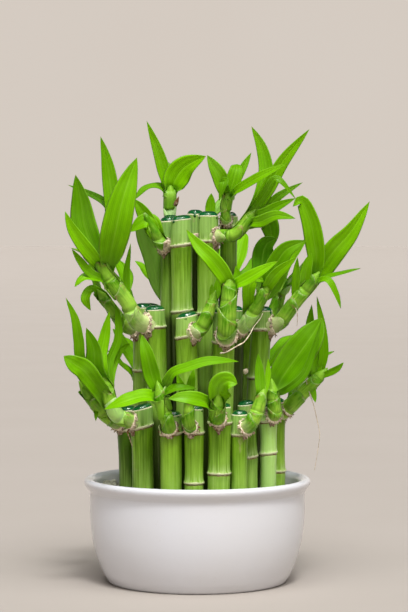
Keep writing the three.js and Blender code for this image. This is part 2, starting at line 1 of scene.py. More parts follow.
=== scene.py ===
"""Lucky bamboo: a three-tier tower of cut dracaena canes in gravel, in a round white bowl.

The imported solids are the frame. Each of them is stood for by a finer piece of the same form: the
turned bowl, the pebbles, the canes with their nodes and wax caps, and the leafy shoots. Buds, dry
fringes and aerial roots are added. Lengths in the tables are millimetres; the bowl stands on z = 0
and the front of the arrangement faces -Y.
"""

from __future__ import annotations

import logging
import math
import random
from collections.abc import Callable, Iterable, Mapping, Sequence
from dataclasses import dataclass, field
from enum import Enum
from typing import NamedTuple

import bmesh
import bpy
from mathutils import Euler, Matrix, Vector

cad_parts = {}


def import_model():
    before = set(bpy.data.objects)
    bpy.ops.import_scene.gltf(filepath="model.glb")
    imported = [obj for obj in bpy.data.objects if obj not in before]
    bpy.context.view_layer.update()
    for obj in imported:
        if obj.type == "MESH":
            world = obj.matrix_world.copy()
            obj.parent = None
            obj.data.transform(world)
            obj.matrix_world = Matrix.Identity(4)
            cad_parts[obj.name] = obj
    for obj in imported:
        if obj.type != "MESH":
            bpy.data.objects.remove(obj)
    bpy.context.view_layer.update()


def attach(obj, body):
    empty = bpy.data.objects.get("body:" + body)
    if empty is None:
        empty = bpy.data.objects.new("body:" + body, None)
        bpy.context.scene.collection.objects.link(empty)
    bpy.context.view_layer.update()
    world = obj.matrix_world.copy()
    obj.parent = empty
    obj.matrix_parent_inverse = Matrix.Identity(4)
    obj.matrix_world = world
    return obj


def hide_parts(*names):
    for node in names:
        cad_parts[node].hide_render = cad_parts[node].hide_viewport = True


LOG = logging.getLogger("lucky_bamboo")
MM = 0.001
BODY = "root"
CLUSTER_X = 3.0
GRAVEL_TOP = 50.0
HEAP_HEIGHT = 4.0
CANE_FOOT = 13.0
SKIN_INSET = 0.15
MARK_REACH = 6.0
BLACK = (0.0, 0.0, 0.0, 1.0)
WARM_GLOSS = (0.95, 1.0, 0.5, 1.0)

Colour = tuple[float, float, float, float]
Point = tuple[float, float, float]
Stops = Sequence[tuple[float, float]]
Number = "float | Wire"
Paint = "str | Wire"
Blend = "float | Vector"


def hue(code: str) -> Colour:
    """Turn a six-digit display colour into the linear colour that shaders take.

    Args:
        code: Red, green and blue as hexadecimal pairs.

    Returns:
        The linear colour with full alpha.
    """
    parts = [int(code[index : index + 2], 16) / 255 for index in (0, 2, 4)]
    linear = [
        part / 12.92 if part <= 0.04045 else ((part + 0.055) / 1.055) ** 2.4 for part in parts
    ]
    return (linear[0], linear[1], linear[2], 1.0)


def around(radius: float, degrees: float) -> tuple[float, float]:
    """Place a point on a ring of the cluster.

    Args:
        radius: Distance from the cluster's axis.
        degrees: Angle from the front, growing towards the right.

    Returns:
        The point's x and y.
    """
    angle = math.radians(degrees)
    return (CLUSTER_X + radius * math.sin(angle), -radius * math.cos(angle))


class ShootRow(NamedTuple):
    """What is listed of one shoot, in millimetres and degrees.

    A leaf has its start as a share of the stem, its width, the azimuth and elevation that its upper
    face looks in, and its points. A tint runs from 0, deep green, to 1, young yellow green, and
    pallor is how much paler than the others the young stem is.
    """

    stem: tuple[Point, ...]
    radii: tuple[float, ...]
    leaves: tuple[tuple[float, float, float, float, tuple[Point, ...]], ...]
    tints: tuple[float, ...] = ()
    pallor: float = 0.0


# The tables of canes and shoots follow the solids, which use the same numbers. A cane has its foot,
# head, top, width, slope of the cut, nodes, how light it is, from 0, dark olive, to 1, pale yellow
# green (drawn by lot where it is None), and the height under which its skin is darkened with
# painted shade, for the shade of the other canes.
CANE_ROWS = {
    "lower": (
        ((-37, -10), (-39, -11), 97, 11.4, 0.1, (86,), 0.1, 0),
        ((-29, -26), (-30.6, -27), 99.2, 12, 0.25, (89,), 0.55, 0),
        ((-14.2, -37.8), (-14.2, -38.2), 96.4, 12, 0.1, (86.4,), 0.85, 0),
        ((-1.9, -41.2), (-1.6, -41.4), 100.2, 10.6, 0, (87.2, 59.8), 0.8, 0),
        ((11, -40.6), (12.4, -41), 101.3, 12.4, 0, (92.6, 65), 0.6, 0),
        ((22.5, -36.6), (23, -36.8), 96.8, 9.4, 0, (85.7,), 0.6, 0),
        ((29.4, -26.6), (27, -26), 101.3, 10.4, 0.1, (92, 72.5), 0.35, 0),
        ((39, -20), (39.3, -20.3), 100, 9.4, 0.1, (91.8, 73.9), 1.5, 0),
        ((43.6, -6), (44, -6), 101, 10.4, 0, (92.3, 62.5), 0.7, 0),
        (around(41.5, 115), around(43, 115), 98, 11.6, 0, (87,), None, 0),
        (around(41.5, 149), around(43, 149), 101, 11, 0.1, (90,), None, 0),
        (around(41.5, 183), around(43, 183), 97, 12, -0.1, (86,), None, 0),
        (around(41.5, 217), around(43, 217), 100, 11.4, 0.1, (89,), None, 0),
        (around(41.5, 251), around(43, 251), 98, 11.2, 0, (87,), None, 0),
    ),
    "middle": (
        ((-31.5, 1.5), (-30.3, 1.5), 153.6, 11, 0, (140.5, 118.3), 0.65, 0),
        ((-19, -14), (-23.5, -20.5), 153.2, 12, 0.05, (143.6,), 0.68, 94),
        ((-5, -25), (-5.7, -31), 150.1, 12, 0.2, (139.2,), 0.8, 92),
        ((12.5, -23), (14.6, -30.5), 152.3, 12.4, 0, (135.9,), 0.75, 92),
        ((20, -13), (20.8, -19.5), 152.9, 10, 0, (139.7,), None, 136),
        ((26.5, -3.5), (36.5, -8), 152.2, 11.6, 0, (141.9, 114.7), 0.6, 92),
        (around(26, 117), around(31.5, 117), 151, 12.6, 0, (140,), None, 0),
        (around(27.5, 160), around(33, 160), 154, 11.6, 0.1, (142,), None, 0),
        (around(27.5, 203), around(33, 203), 150, 11.2, 0, (139,), None, 0),
        (around(27.5, 240), around(33, 240), 153, 11, -0.1, (142,), None, 0),
    ),
    "tall": (
        ((-14.7, -2.7), (-16.2, -4.8), 202, 9.4, 0.08, (185.8,), 0.3, 150),
        ((-6.7, -10.5), (-9, -14), 202.8, 12, 0.12, (188.7, 152.1), 0.6, 149),
        ((5.8, -11), (6, -14), 205, 12.2, 0, (190.9, 150.8), 0.65, 108),
        ((14.6, -2.8), (17.7, -6.5), 204.7, 10, 0, (199,), 0.4, 176),
        ((-1, 5), (-1.2, 4), 205.9, 10, 0, (193.5,), 0.5, 190),
        ((-11.5, 7), (-15, 7.5), 203, 10, 0, (191.5,), None, 186),
    ),
}
SHOOTS = {
    "lower_shoot_01": ShootRow(
        stem=((-38, -10.5, 88.5), (-47.5, -20, 93), (-55.5, -27, 102), (-60.5, -31, 109)),
        radii=(4, 4.4, 4.2, 3.4),
        leaves=(
            (1, 5, -30, 10, ((-62, -32, 113), (-62.5, -32, 118))),
            (0.66, 2.6, 0, 0, ((-55.5, -31, 92.5),)),
            (1, 8, -90, 10, ((-59, -20, 122), (-59.5, -8, 137))),
        ),
    ),
    "lower_shoot_02": ShootRow(
        stem=((-30, -26.5, 91), (-38, -31, 93), (-45, -34.5, 97.5), (-49.5, -37, 111.5)),
        radii=(4.4, 4.4, 4.4, 3.6),
        leaves=(
            (1, 6, 0, 10, ((-62, -44, 125), (-64, -47, 138), (-66, -47, 149.5), (-71, -46, 161))),
            (1, 10, -10, 10, ((-55, -41, 122), (-56, -43, 133), (-60, -43, 144.5))),
            (1, 7, 15, 10, ((-52.5, -35, 127), (-50.5, -32, 140), (-48, -30, 153))),
            (0.8, 5, 10, 0,
             ((-48, -30, 124), (-43.5, -28, 137), (-43.5, -27, 149), (-45, -27, 157))),
            (0.75, 12, -20, 30, ((-59, -46, 119), (-66, -50, 125), (-72, -50, 129.5))),
            (0.85, 4, 30, 0, ((-46.5, -29, 120), (-42, -22, 131), (-37, -17, 134.5))),
        ),
        pallor=0.35,
    ),
    "lower_shoot_03": ShootRow(
        stem=((-14.3, -38.5, 88), (-15.5, -45.5, 90.5), (-17.5, -48.5, 99), (-19.8, -49, 108.5)),
        radii=(4.2, 4.2, 3.8, 3.4),
        leaves=(
            (0.9, 11, -15, 45, ((-29, -54, 107.5), (-38, -57.5, 105.5), (-50, -56.5, 101))),
            (1, 9.5, -5, 5, ((-24, -48.5, 118), (-27, -50, 130), (-30, -47, 141))),
            (1, 7, 10, 40,
             ((-13.5, -53, 119.5), (-5, -55, 123.5), (4.5, -55, 126.5), (13.5, -54, 127),
              (22.5, -51, 126.5))),
            (0.95, 6, 0, 45, ((-12, -55, 112.3), (-0.5, -56, 112.3))),
        ),
    ),
    "lower_shoot_04": ShootRow(
        stem=((-2, -41.8, 89), (-4, -48.5, 91.5), (-4.6, -50.5, 98), (-4.5, -50, 104.5)),
        radii=(3.6, 3.4, 3, 2.6),
        leaves=(
            (1, 5, 0, 5, ((-3.5, -49.5, 113.5), (-1.8, -47.5, 122.5))),
            (1, 5, -30, 10, ((-8, -47.5, 112), (-11, -44.5, 120))),
        ),
    ),
    "lower_shoot_05": ShootRow(
        stem=((12, -41.5, 94.5), (11, -50, 96.5), (11, -54, 103.5)),
        radii=(4.2, 4.2, 3.6),
        leaves=(
            (0.9, 8.5, 0, 25, ((1, -61.5, 106.5), (-7, -64, 108), (-15.5, -64, 107.5))),
            (1, 14, 10, 10, ((12, -60, 112.5), (16, -63, 116.5), (21.5, -64, 115.5))),
        ),
    ),
    "lower_shoot_06": ShootRow(
        stem=((23.5, -37.5, 88), (28.5, -42.5, 91.5), (32, -43, 98), (34.5, -41.5, 105)),
        radii=(4, 4, 3.8, 3.4),
        leaves=(
            (1, 6, 0, 0, ((34, -39, 117), (33.2, -35.5, 130))),
            (1, 4, 20, 0, ((38, -37.5, 115.5), (38.7, -35, 127.5))),
        ),
    ),
    "lower_shoot_08": ShootRow(
        stem=((39.5, -20.5, 93.5), (42.5, -26, 96), (42, -28, 102), (41.5, -28, 108)),
        radii=(4, 4, 3.8, 3.4),
        leaves=(
            (1, 19, -10, 5,
             ((48.5, -26.5, 119), (57, -27.5, 131), (64, -26.5, 141), (68.5, -25, 149))),
            (0.9, 4.5, 0, 5,
             ((50, -34, 111), (58.5, -35.5, 119), (63.5, -34, 132), (67.8, -32.5, 148))),
        ),
        tints=(0.4, 0.3),
    ),
    "lower_shoot_09": ShootRow(
        stem=((44, -6.5, 94), (49, -8, 96.5), (56, -10, 103.5), (67, -12, 115)),
        radii=(4.4, 4.4, 4.2, 3.4),
        leaves=(
            (1, 5.5, 0, 0, ((70, -13.5, 127.5), (69.2, -14, 143), (66.3, -12.5, 160.5))),
            (0.9, 7, -20, 0, ((65, -7, 125), (63.3, -4, 141.5), (64, -3, 155.5))),
            (1, 4, 30, 20, ((76, -16, 119.5), (81, -18, 124))),
            (0.9, 3.5, 0, 0, ((65.5, -16, 101.5),)),
            (0.95, 6.5, 0, 5, ((66.5, -12, 124), (68.3, -11, 134.5))),
        ),
        pallor=0.3,
    ),
    "middle_shoot_01": ShootRow(
        stem=((-31, 1.5, 141.5), (-40, -5.5, 143.5), (-46.5, -13, 152.5), (-52, -18, 160)),
        radii=(4, 4, 3.4, 2.8),
        leaves=(
            (1, 7, -30, 30, ((-58, -22, 164), (-61, -25, 159.5), (-58.5, -26, 153))),
            (1, 6, -60, 10, ((-57, -12, 172), (-60, -6, 186))),
            (0.7, 5, -90, 10, ((-52, -6, 160), (-56, 2, 172))),
        ),
    ),
    "middle_shoot_02": ShootRow(
        stem=((-24, -21, 145), (-32.5, -27, 147), (-38.5, -30, 158), (-46, -32, 167.5),
              (-51, -33, 175)),
        radii=(5, 5, 4.2, 4, 3.6),
        leaves=(
            (1, 15, -15, 5,
             ((-56.5, -30, 186), (-61.5, -28, 200), (-63.5, -28, 213.5), (-66.5, -28, 227.5))),
            (1, 8, -10, 10,
             ((-56, -40, 182), (-61.5, -43, 189), (-67.5, -44, 198), (-71.5, -43, 207.5))),
            (0.9, 16.5, 5, 5,
             ((-46.5, -41, 186.5), (-44, -46, 197), (-41, -47, 210.5), (-37, -45, 224),
              (-32.5, -42, 236.5))),
            (0.95, 9.5, 10, 0,
             ((-46, -29, 190), (-46, -26, 206), (-48, -24.5, 224), (-50, -24, 236.5),
              (-53, -24, 248.5))),
            (0.95, 4.5, 0, 10,
             ((-44.5, -26, 200), (-50, -22, 211.5), (-60, -19, 217.5), (-71.5, -17, 222))),
            (0.8, 5, -10, 20, ((-57, -38, 173), (-63, -40, 180), (-68, -40, 187))),
            (0.75, 7, -30, 40, ((-59.5, -39, 171.5), (-66.5, -41, 166.5))),
            (0.45, 4, 20, 0, ((-39, -26, 172), (-36.5, -24.5, 190))),
        ),
        tints=(0.4, 0.9, 0.7, 0.55, 0.3, 0.6, 0.8, 0.5),
        pallor=0.3,
    ),
    "middle_shoot_03": ShootRow(
        stem=((-4.8, -32, 140.5), (1.5, -37, 143.5), (5.5, -38.5, 151), (8, -38, 158.5)),
        radii=(4.6, 4.4, 3.6, 2.8),
        leaves=(
            (1, 3.5, 0, 0, ((8, -37.5, 168),)),
            (1, 5, 10, 0, ((10.5, -36.5, 164), (11, -35.5, 171.5))),
        ),
    ),
    "middle_shoot_04": ShootRow(
        stem=((15, -32, 137.5), (16, -41, 142.5), (16.5, -43, 154), (17.5, -43, 166)),
        radii=(5.4, 5.4, 4.8, 3.8),
        leaves=(
            (1, 9.5, -10, 15,
             ((15, -45, 172), (8.5, -46.5, 181), (1, -44.5, 188.5), (-6, -40, 197.5))),
            (1, 4.5, 0, 0, ((21.5, -41.5, 172), (21, -41, 178))),
            (1, 8, 10, 35, ((25, -45, 169.5), (33.5, -46.5, 174.5), (43.5, -47, 180.5))),
        ),
        tints=(0.85, 0.7, 0.9),
    ),
    "middle_shoot_05": ShootRow(
        stem=((21, -20.5, 141.5), (26.5, -26, 145.5), (32, -29, 154.5), (37, -31, 164)),
        radii=(4, 4, 3.6, 3),
        leaves=(
            (1, 11, 0, 5, ((41, -33.5, 174.5), (48, -36, 186), (59.5, -35, 191.5))),
            (0.95, 7, 10, 15, ((42.5, -37.5, 172.5), (54, -41, 182.5))),
            (0.85, 7.5, 10, 0, ((41.5, -28.5, 165.5), (49.5, -27, 176.5))),
            (0.45, 7.5, 0, 0, ((28, -33, 164), (31, -34, 171), (36.5, -34, 169))),
            (0.9, 12, 0, 5, ((35.6, -24, 179.5), (37.8, -24, 188.8), (43.8, -24, 192.7))),
        ),
        tints=(0.5, 0.8, 0.45, 0.9, 0.15),
        pallor=0.3,
    ),
    "middle_shoot_06": ShootRow(
        stem=((37.5, -8.5, 143.5), (45.5, -10.5, 145.5), (53.5, -12, 156), (63, -14, 168)),
        radii=(4.6, 4.4, 4, 3.6),
        leaves=(
            (1, 11, -10, 10,
             ((66, -16, 179), (64.5, -19, 192), (62, -20, 203), (57.5, -20, 213),
              (52.5, -21, 210))),
            (1, 13.5, 15, 5,
             ((67, -11, 173.5), (76, -15, 186), (85, -16, 196.5), (95.4, -14, 213))),
            (0.95, 5, 0, 60, ((72, -17, 171), (79.5, -19, 173), (90, -20, 176))),
            (1, 4.5, 20, 30, ((71.5, -21, 169.5), (76, -23, 162.5), (79, -23, 154))),
            (0.85, 7, -20, 0, ((60.5, -17, 175), (63, -18, 184.5))),
            (0.7, 5.5, -30, 0, ((55, -14.5, 170), (55.5, -15, 182))),
        ),
        tints=(0.7, 0.85, 0.5, 0.6, 0.7, 0.7),
    ),
    "tall_shoot_01": ShootRow(
        stem=((-18, -8.4, 188), (-20.4, -13.4, 190.5), (-23.4, -15, 196), (-27, -15, 201.5)),
        radii=(3.6, 3.7, 3, 2.2),
        leaves=(
            (0.3, 9, -20, 5, ((-28, -15, 204), (-34.6, -13, 214.2))),
            (0.3, 11, -20, 30, ((-27, -17, 201.5), (-37.5, -16, 196))),
            (0.4, 5.5, 0, 0, ((-25, -7.5, 202), (-30.5, -5, 210))),
            (0.9, 13, 170, 45,
             ((-29, -7, 200), (-28, 0, 191), (-24.7, 1.4, 178), (-22.6, 1.8, 166),
              (-20.8, 1, 157.5))),
        ),
        tints=(0.75, 0.7, 0.2, 0.95),
    ),
    "tall_shoot_03": ShootRow(
        stem=((6.5, -15, 193.5), (13.5, -19.5, 194), (21, -21.5, 195), (29, -21, 204.5)),
        radii=(3.9, 3.7, 3.4, 3),
        leaves=(
            (1, 8.5, -5, 0,
             ((35.5, -19, 218), (38, -16, 230), (35.5, -13, 243), (30, -11, 254.5))),
            (1, 8.5, 10, 0, ((38, -22, 219), (47.5, -23, 235.5), (61.5, -25, 252.5))),
            (1, 5, 20, 20, ((37, -26, 217), (43.5, -28, 225), (54, -30, 214))),
            (0.95, 5.5, 10, 10, ((38, -15, 209), (45.5, -13, 216), (58.5, -12, 223.5))),
            (1, 7, 0, 20, ((36, -28, 205.5), (43, -33, 209.5), (53.5, -37, 214.5))),
            (0.9, 7, 0, 15, ((34, -31, 201.5), (43, -38, 205), (53.3, -42, 203.5))),
            (0.85, 11, 0, 0, ((37, -15, 203), (41, -12.5, 196), (40, -12, 185))),
        ),
        tints=(0.6, 0.85, 0.5, 0.55, 0.5, 0.6, 0.3),
    ),
    "tall_shoot_04": ShootRow(
        stem=((17, -8, 200), (16, -13.5, 203.5), (15.5, -14.5, 209), (16.5, -15, 214)),
        radii=(3.2, 2.8, 2.8, 2.6),
        leaves=(
            (1, 9, 0, 5, ((19, -17.5, 221), (21.5, -16, 230), (22, -10, 233.5))),
            (1, 9, -5, 5, ((12.5, -15, 226.5), (5.5, -13, 238.5))),
            (1, 6, -20, 20, ((15, -21, 223), (14.5, -24, 222), (12, -25, 213))),
            (1, 5, 0, 0, ((23.5, -12, 228), (30, -9, 240))),
            (1, 7, 5, 35, ((24, -25, 220), (35, -31.5, 226.5), (49, -35, 233.5))),
        ),
        tints=(0.6, 0.55, 0.4, 0.6, 0.75),
    ),
    "tall_shoot_05": ShootRow(
        stem=((-1, 5, 195.5), (4, 11, 197.5), (7, 14.5, 203)),
        radii=(3.4, 3.2, 2.4),
        leaves=(
            (1, 6, 0, 0, ((8, 15.5, 217.7),)),
            (1, 6, 180, 20, ((14, 22, 212), (20, 30, 219))),
            (1, 5, 90, 20, ((16, 14, 212), (24, 14, 220))),
        ),
    ),
    "tall_shoot_06": ShootRow(
        stem=((-14.8, 8, 193.5), (-15, 14.5, 197), (-15.2, 16.5, 207), (-15.2, 16.5, 217)),
        radii=(3.6, 3.6, 3.3, 3),
        leaves=(
            (1, 7.5, 0, 5, ((-18.5, 16, 229), (-22, 15, 241), (-28.5, 13, 258.5))),
            (1, 15, 5, 10, ((-12, 15, 226), (-6, 13, 233), (5, 8, 238.5))),
            (0.95, 8, 0, 65, ((-22, 16, 221), (-29, 16, 220), (-36, 15, 213.5))),
            (1, 4, -20, 0, ((-20.5, 18, 226.5),)),
            (1, 9, 170, 20, ((-16, 26, 228), (-18, 38, 236))),
        ),
        tints=(0.8, 1.2, 0.5, 0.5, 0.5),
        pallor=1.1,
    ),
}

# Back shoots: the angle that each grows towards, the factor on its lengths, the side it starts on.
BACK_SHOOTS = {
    "lower_shoot_10": (112, 0.8, 1),
    "lower_shoot_11": (147, 0.9, -1),
    "lower_shoot_12": (182, 0.8, 1),
    "lower_shoot_13": (217, 0.9, -1),
    "lower_shoot_14": (252, 0.7, 1),
    "middle_shoot_07": (112, 0.95, -1),
    "middle_shoot_08": (167, 0.95, 1),
    "middle_shoot_09": (203, 0.95, -1),
    "middle_shoot_10": (247, 0.9, 1),
}
BACK_RISE = 2
BACK_STEM_OUT = (0, 9, 15, 18)
BACK_STEM_UP = (0, 2.5, 11, 20)
BACK_STEM_RADII = (4.2, 4.2, 3.7, 3.2)

BACK_LEAF_TILT = 40
BACK_LEAF_SHARES = (0.4, 0.75, 1.0)

# Leaves of a back shoot: swing from its direction, length, steepness and width.
BACK_LEAVES = (
    (-26, 28, 1.1, 8),
    (-9, 42, 1.5, 10),
    (8, 46, 0.8, 12),
    (26, 32, 1.2, 8.5),
    (42, 24, 0.6, 8),
)


def link(name: str, data: bpy.types.ID) -> bpy.types.Object:
    """Make an object of some data and put it in the scene.

    Args:
        name: The object's name.
        data: Its data.

    Returns:
        The object.
    """
    made = bpy.data.objects.new(name, data)
    bpy.context.scene.collection.objects.link(made)
    return made


def turns(sides: int) -> list[float]:
    """List the angles of even steps round a ring."""
    return [math.tau * side / sides for side in range(sides)]


def level_ring(radius: float, height: float, sides: int) -> list[Vector]:
    """Give the points of a level ring round the bowl's axis.

    Args:
        radius: Its radius.
        height: Its height.
        sides: How many points.

    Returns:
        The points.
    """
    return [
        Vector((radius * math.cos(angle), radius * math.sin(angle), height))
        for angle in turns(sides)
    ]


def facing(azimuth: float, elevation: float) -> Vector:
    """Give a direction.

    Args:
        azimuth: Turn from the front towards the right, in degrees.
        elevation: Height over the level, in degrees.

    Returns:
        The direction, of length 1.
    """
    turn, tilt = math.radians(azimuth), math.radians(elevation)
    flat = math.cos(tilt)
    return Vector((math.sin(turn) * flat, -math.cos(turn) * flat, math.sin(tilt)))


def math_node(operation: str, reflected: bool = False) -> Callable[[Wire, Number], Wire]:
    """Make a wire's method that adds one Math node.

    Args:
        operation: The Math node's operation.
        reflected: Whether the wire is the second value.

    Returns:
        The method.
    """

    def method(wire: Wire, other: Number = 0.0) -> Wire:
        """Add the Math node."""
        first, second = (other, wire) if reflected else (wire, other)
        return wire.bench.node("ShaderNodeMath", {"operation": operation}, {0: first, 1: second})

    return method


class Wire:
    """A node's output. Sums on it add Math nodes."""

    def __init__(self, bench: Bench, socket: bpy.types.NodeSocket | None) -> None:
        """Keep the tree's bench and the output."""
        self.bench = bench
        self.socket = socket

    __add__ = math_node("ADD")
    __radd__ = math_node("ADD", reflected=True)
    __sub__ = math_node("SUBTRACT")
    __rsub__ = math_node("SUBTRACT", reflected=True)
    __mul__ = math_node("MULTIPLY")
    __rmul__ = math_node("MULTIPLY", reflected=True)
    __abs__ = math_node("ABSOLUTE")
    sine = math_node("SINE")

    def ease(self, low: float, high: float) -> Wire:
        """Rise smoothly from 0 at low to 1 at high, or fall where low is the larger.

        Args:
            low: Value that gives 0.
            high: Value that gives 1.

        Returns:
            The eased value.
        """
        settings = {"interpolation_type": "SMOOTHSTEP"}
        return self.bench.node("ShaderNodeMapRange", settings, {0: self, 1: low, 2: high})


class Bench:
    """One material's node tree, with the few ways in which finishes use it."""

    def __init__(self, name: str) -> None:
        """Start an empty material.

        Args:
            name: The material's name.
        """
        self.material = bpy.data.materials.new(name)
        self.material.use_nodes = True
        self.tree = self.material.node_tree
        self.tree.nodes.clear()

    def node(
        self,
        kind: str,
        settings: Mapping[str, object] | None = None,
        inputs: Mapping[int | str, object] | None = None,
        output: int | str = 0,
    ) -> Wire:
        """Add a node.

        Args:
            kind: The node's type.
            settings: Its own settings, which are made first.
            inputs: A value or a wire for each socket.
            output: The output to use.

        Returns:
            That output; the node that ends a tree has none.
        """
        made = self.tree.nodes.new(kind)
        for key, value in (settings or {}).items():
            setattr(made, key, value)
        for key, value in (inputs or {}).items():
            if isinstance(value, Wire):
                self.tree.links.new(value.socket, made.inputs[key])
            else:
                made.inputs[key].default_value = value
        return Wire(self, made.outputs[output] if made.outputs else None)

    def painted(self, name: str) -> Wire:
        """Read a value that the mesh carries."""
        return self.node("ShaderNodeAttribute", {"attribute_name": name}, output="Fac")

    def place(self, stretch: Point = (1.0, 1.0, 1.0)) -> Wire:
        """Give the place on the object, stretched along its axes.

        Args:
            stretch: Factor along each axis; a small one draws a pattern out along that axis.

        Returns:
            The stretched place, in metres.
        """
        spot = self.node("ShaderNodeTexCoord", output="Object")
        settings = {"operation": "MULTIPLY"}
        return self.node("ShaderNodeVectorMath", settings, {0: spot, 1: stretch})

    def noise(self, scale: float, detail: float = 2.0, place: Wire | None = None) -> Wire:
        """Add a noise.

        Args:
            scale: Lumps in a metre.
            detail: Levels of finer lumps.
            place: Where it is read; the object's own place if none.

        Returns:
            The noise, about 0.5 on average.
        """
        inputs = {"Vector": place or self.place(), "Scale": scale, "Detail": detail}
        return self.node("ShaderNodeTexNoise", None, inputs)

    def blend(self, share: Number, first: Paint, second: Paint) -> Wire:
        """Mix two colours.

        Args:
            share: How much of the second colour.
            first: The colour at 0, as a wire or as six digits.
            second: The colour at 1.

        Returns:
            The mixed colour.
        """
        settings = {"data_type": "RGBA", "clamp_factor": True}
        low, high = (hue(end) if isinstance(end, str) else end for end in (first, second))
        return self.node("ShaderNodeMix", settings, {0: share, 6: low, 7: high}, 2)

    def layers(self, base: Paint, *coats: tuple[Number, Paint]) -> Wire:
        """Lay colours over one another.

        Args:
            base: The lowest colour.
            coats: The share and the colour of each one over it.

        Returns:
            The mixed colour.
        """
        for share, colour in coats:
            base = self.blend(share, base, colour)
        return base

    def dim(self, colour: Wire, factor: Wire) -> Wire:
        """Scale a colour by a value.

        Args:
            colour: The colour.
            factor: The value, 1 to keep it.

        Returns:
            The scaled colour.
        """
        settings = {"operation": "SCALE"}
        return self.node("ShaderNodeVectorMath", settings, {0: colour, "Scale": factor})

    def bump(self, height: Wire, depth: float, strength: float = 1.0) -> Wire:
        """Turn a height into a normal.

        Args:
            height: The height, 0 to 1.
            depth: Metres between 0 and 1.
            strength: Share of the effect.

        Returns:
            The normal.
        """
        inputs = {"Strength": strength, "Distance": depth, "Height": height}
        return self.node("ShaderNodeBump", None, inputs)

    def close(
        self,
        inputs: Mapping[int | str, object],
        shine_through: str = "",
        through: float = 0.0,
    ) -> bpy.types.Material:
        """End the tree in a surface.

        Args:
            inputs: Values and wires of the surface shader.
            shine_through: Colour of the light that comes through a thin leaf, if any does.
            through: Share of that light.

        Returns:
            The finished material.
        """
        surface = self.node("ShaderNodeBsdfPrincipled", None, inputs)
        if shine_through:
            glow = self.node("ShaderNodeBsdfTranslucent", None, {"Color": hue(shine_through)})
            surface = self.node("ShaderNodeMixShader", None, {0: through, 1: surface, 2: glow})
        self.node("ShaderNodeOutputMaterial", None, {"Surface": surface})
        return self.material


@dataclass(frozen=True)
class GlazeFinish:
    """White gloss glaze of the bowl."""

    colour: str = "dcdfe9"
    warm: str = "d9d7d6"
    speck: str = "b9b3a8"
    roughness: float = 0.13

    def make(self) -> bpy.types.Material:
        """Make the material.

        Returns:
            The material.
        """
        bench = Bench("white_glaze")
        cloud = bench.noise(14.0, 3.0)
        pool = bench.noise(60.0, 2.0)
        speck = bench.noise(900.0, 1.0).ease(0.74, 0.8)
        return bench.close({
            "Base Color": bench.layers(self.colour, (cloud, self.warm), (speck * 0.25, self.speck)),
            "Roughness": pool * 0.06 + self.roughness,
            "Coat Weight": 0.35,
            "Coat Roughness": 0.05,
            "Normal": bench.bump(pool, 0.0005, 0.35),
        })


@dataclass(frozen=True)
class ClayFinish:
    """Bare fired clay of the ring that the bowl stands on."""

    colour: str = "cfc9bd"
    grit: str = "b3ab9c"

    def make(self) -> bpy.types.Material:
        """Make the material.

        Returns:
            The material.
        """
        bench = Bench("bare_clay")
        grit = bench.noise(700.0, 4.0)
        return bench.close({
            "Base Color": bench.blend(grit, self.colour, self.grit),
            "Roughness": 0.85,
            "Normal": bench.bump(grit, 0.0003, 0.6),
        })


@dataclass(frozen=True)
class PebbleFinish:
    """Pale pebbles, and the bed under them, painted near black as the shade in the gaps between
    them.
    """

    light: str = "dedccb"
    dark: str = "a3a188"
    grain: str = "6f6a52"
    under: str = "2a2a1c"

    def make(self) -> bpy.types.Material:
        """Make the material.

        Returns:
            The material.
        """
        bench = Bench("pebbles")
        grain = bench.noise(500.0, 4.0)
        body = bench.layers(
            self.dark,
            (bench.painted("tint"), self.light),
            (grain.ease(0.42, 0.7) * 0.5, self.grain),
            # Painted shade: the bed under the pebbles is near black, for the dark gaps between
            # them.
            (bench.painted("under") * 0.85, self.under),
        )
        return bench.close({
            "Base Color": body,
            "Roughness": grain * 0.3 + 0.35,
            "Normal": bench.bump(grain, 0.0004, 0.6),
        })


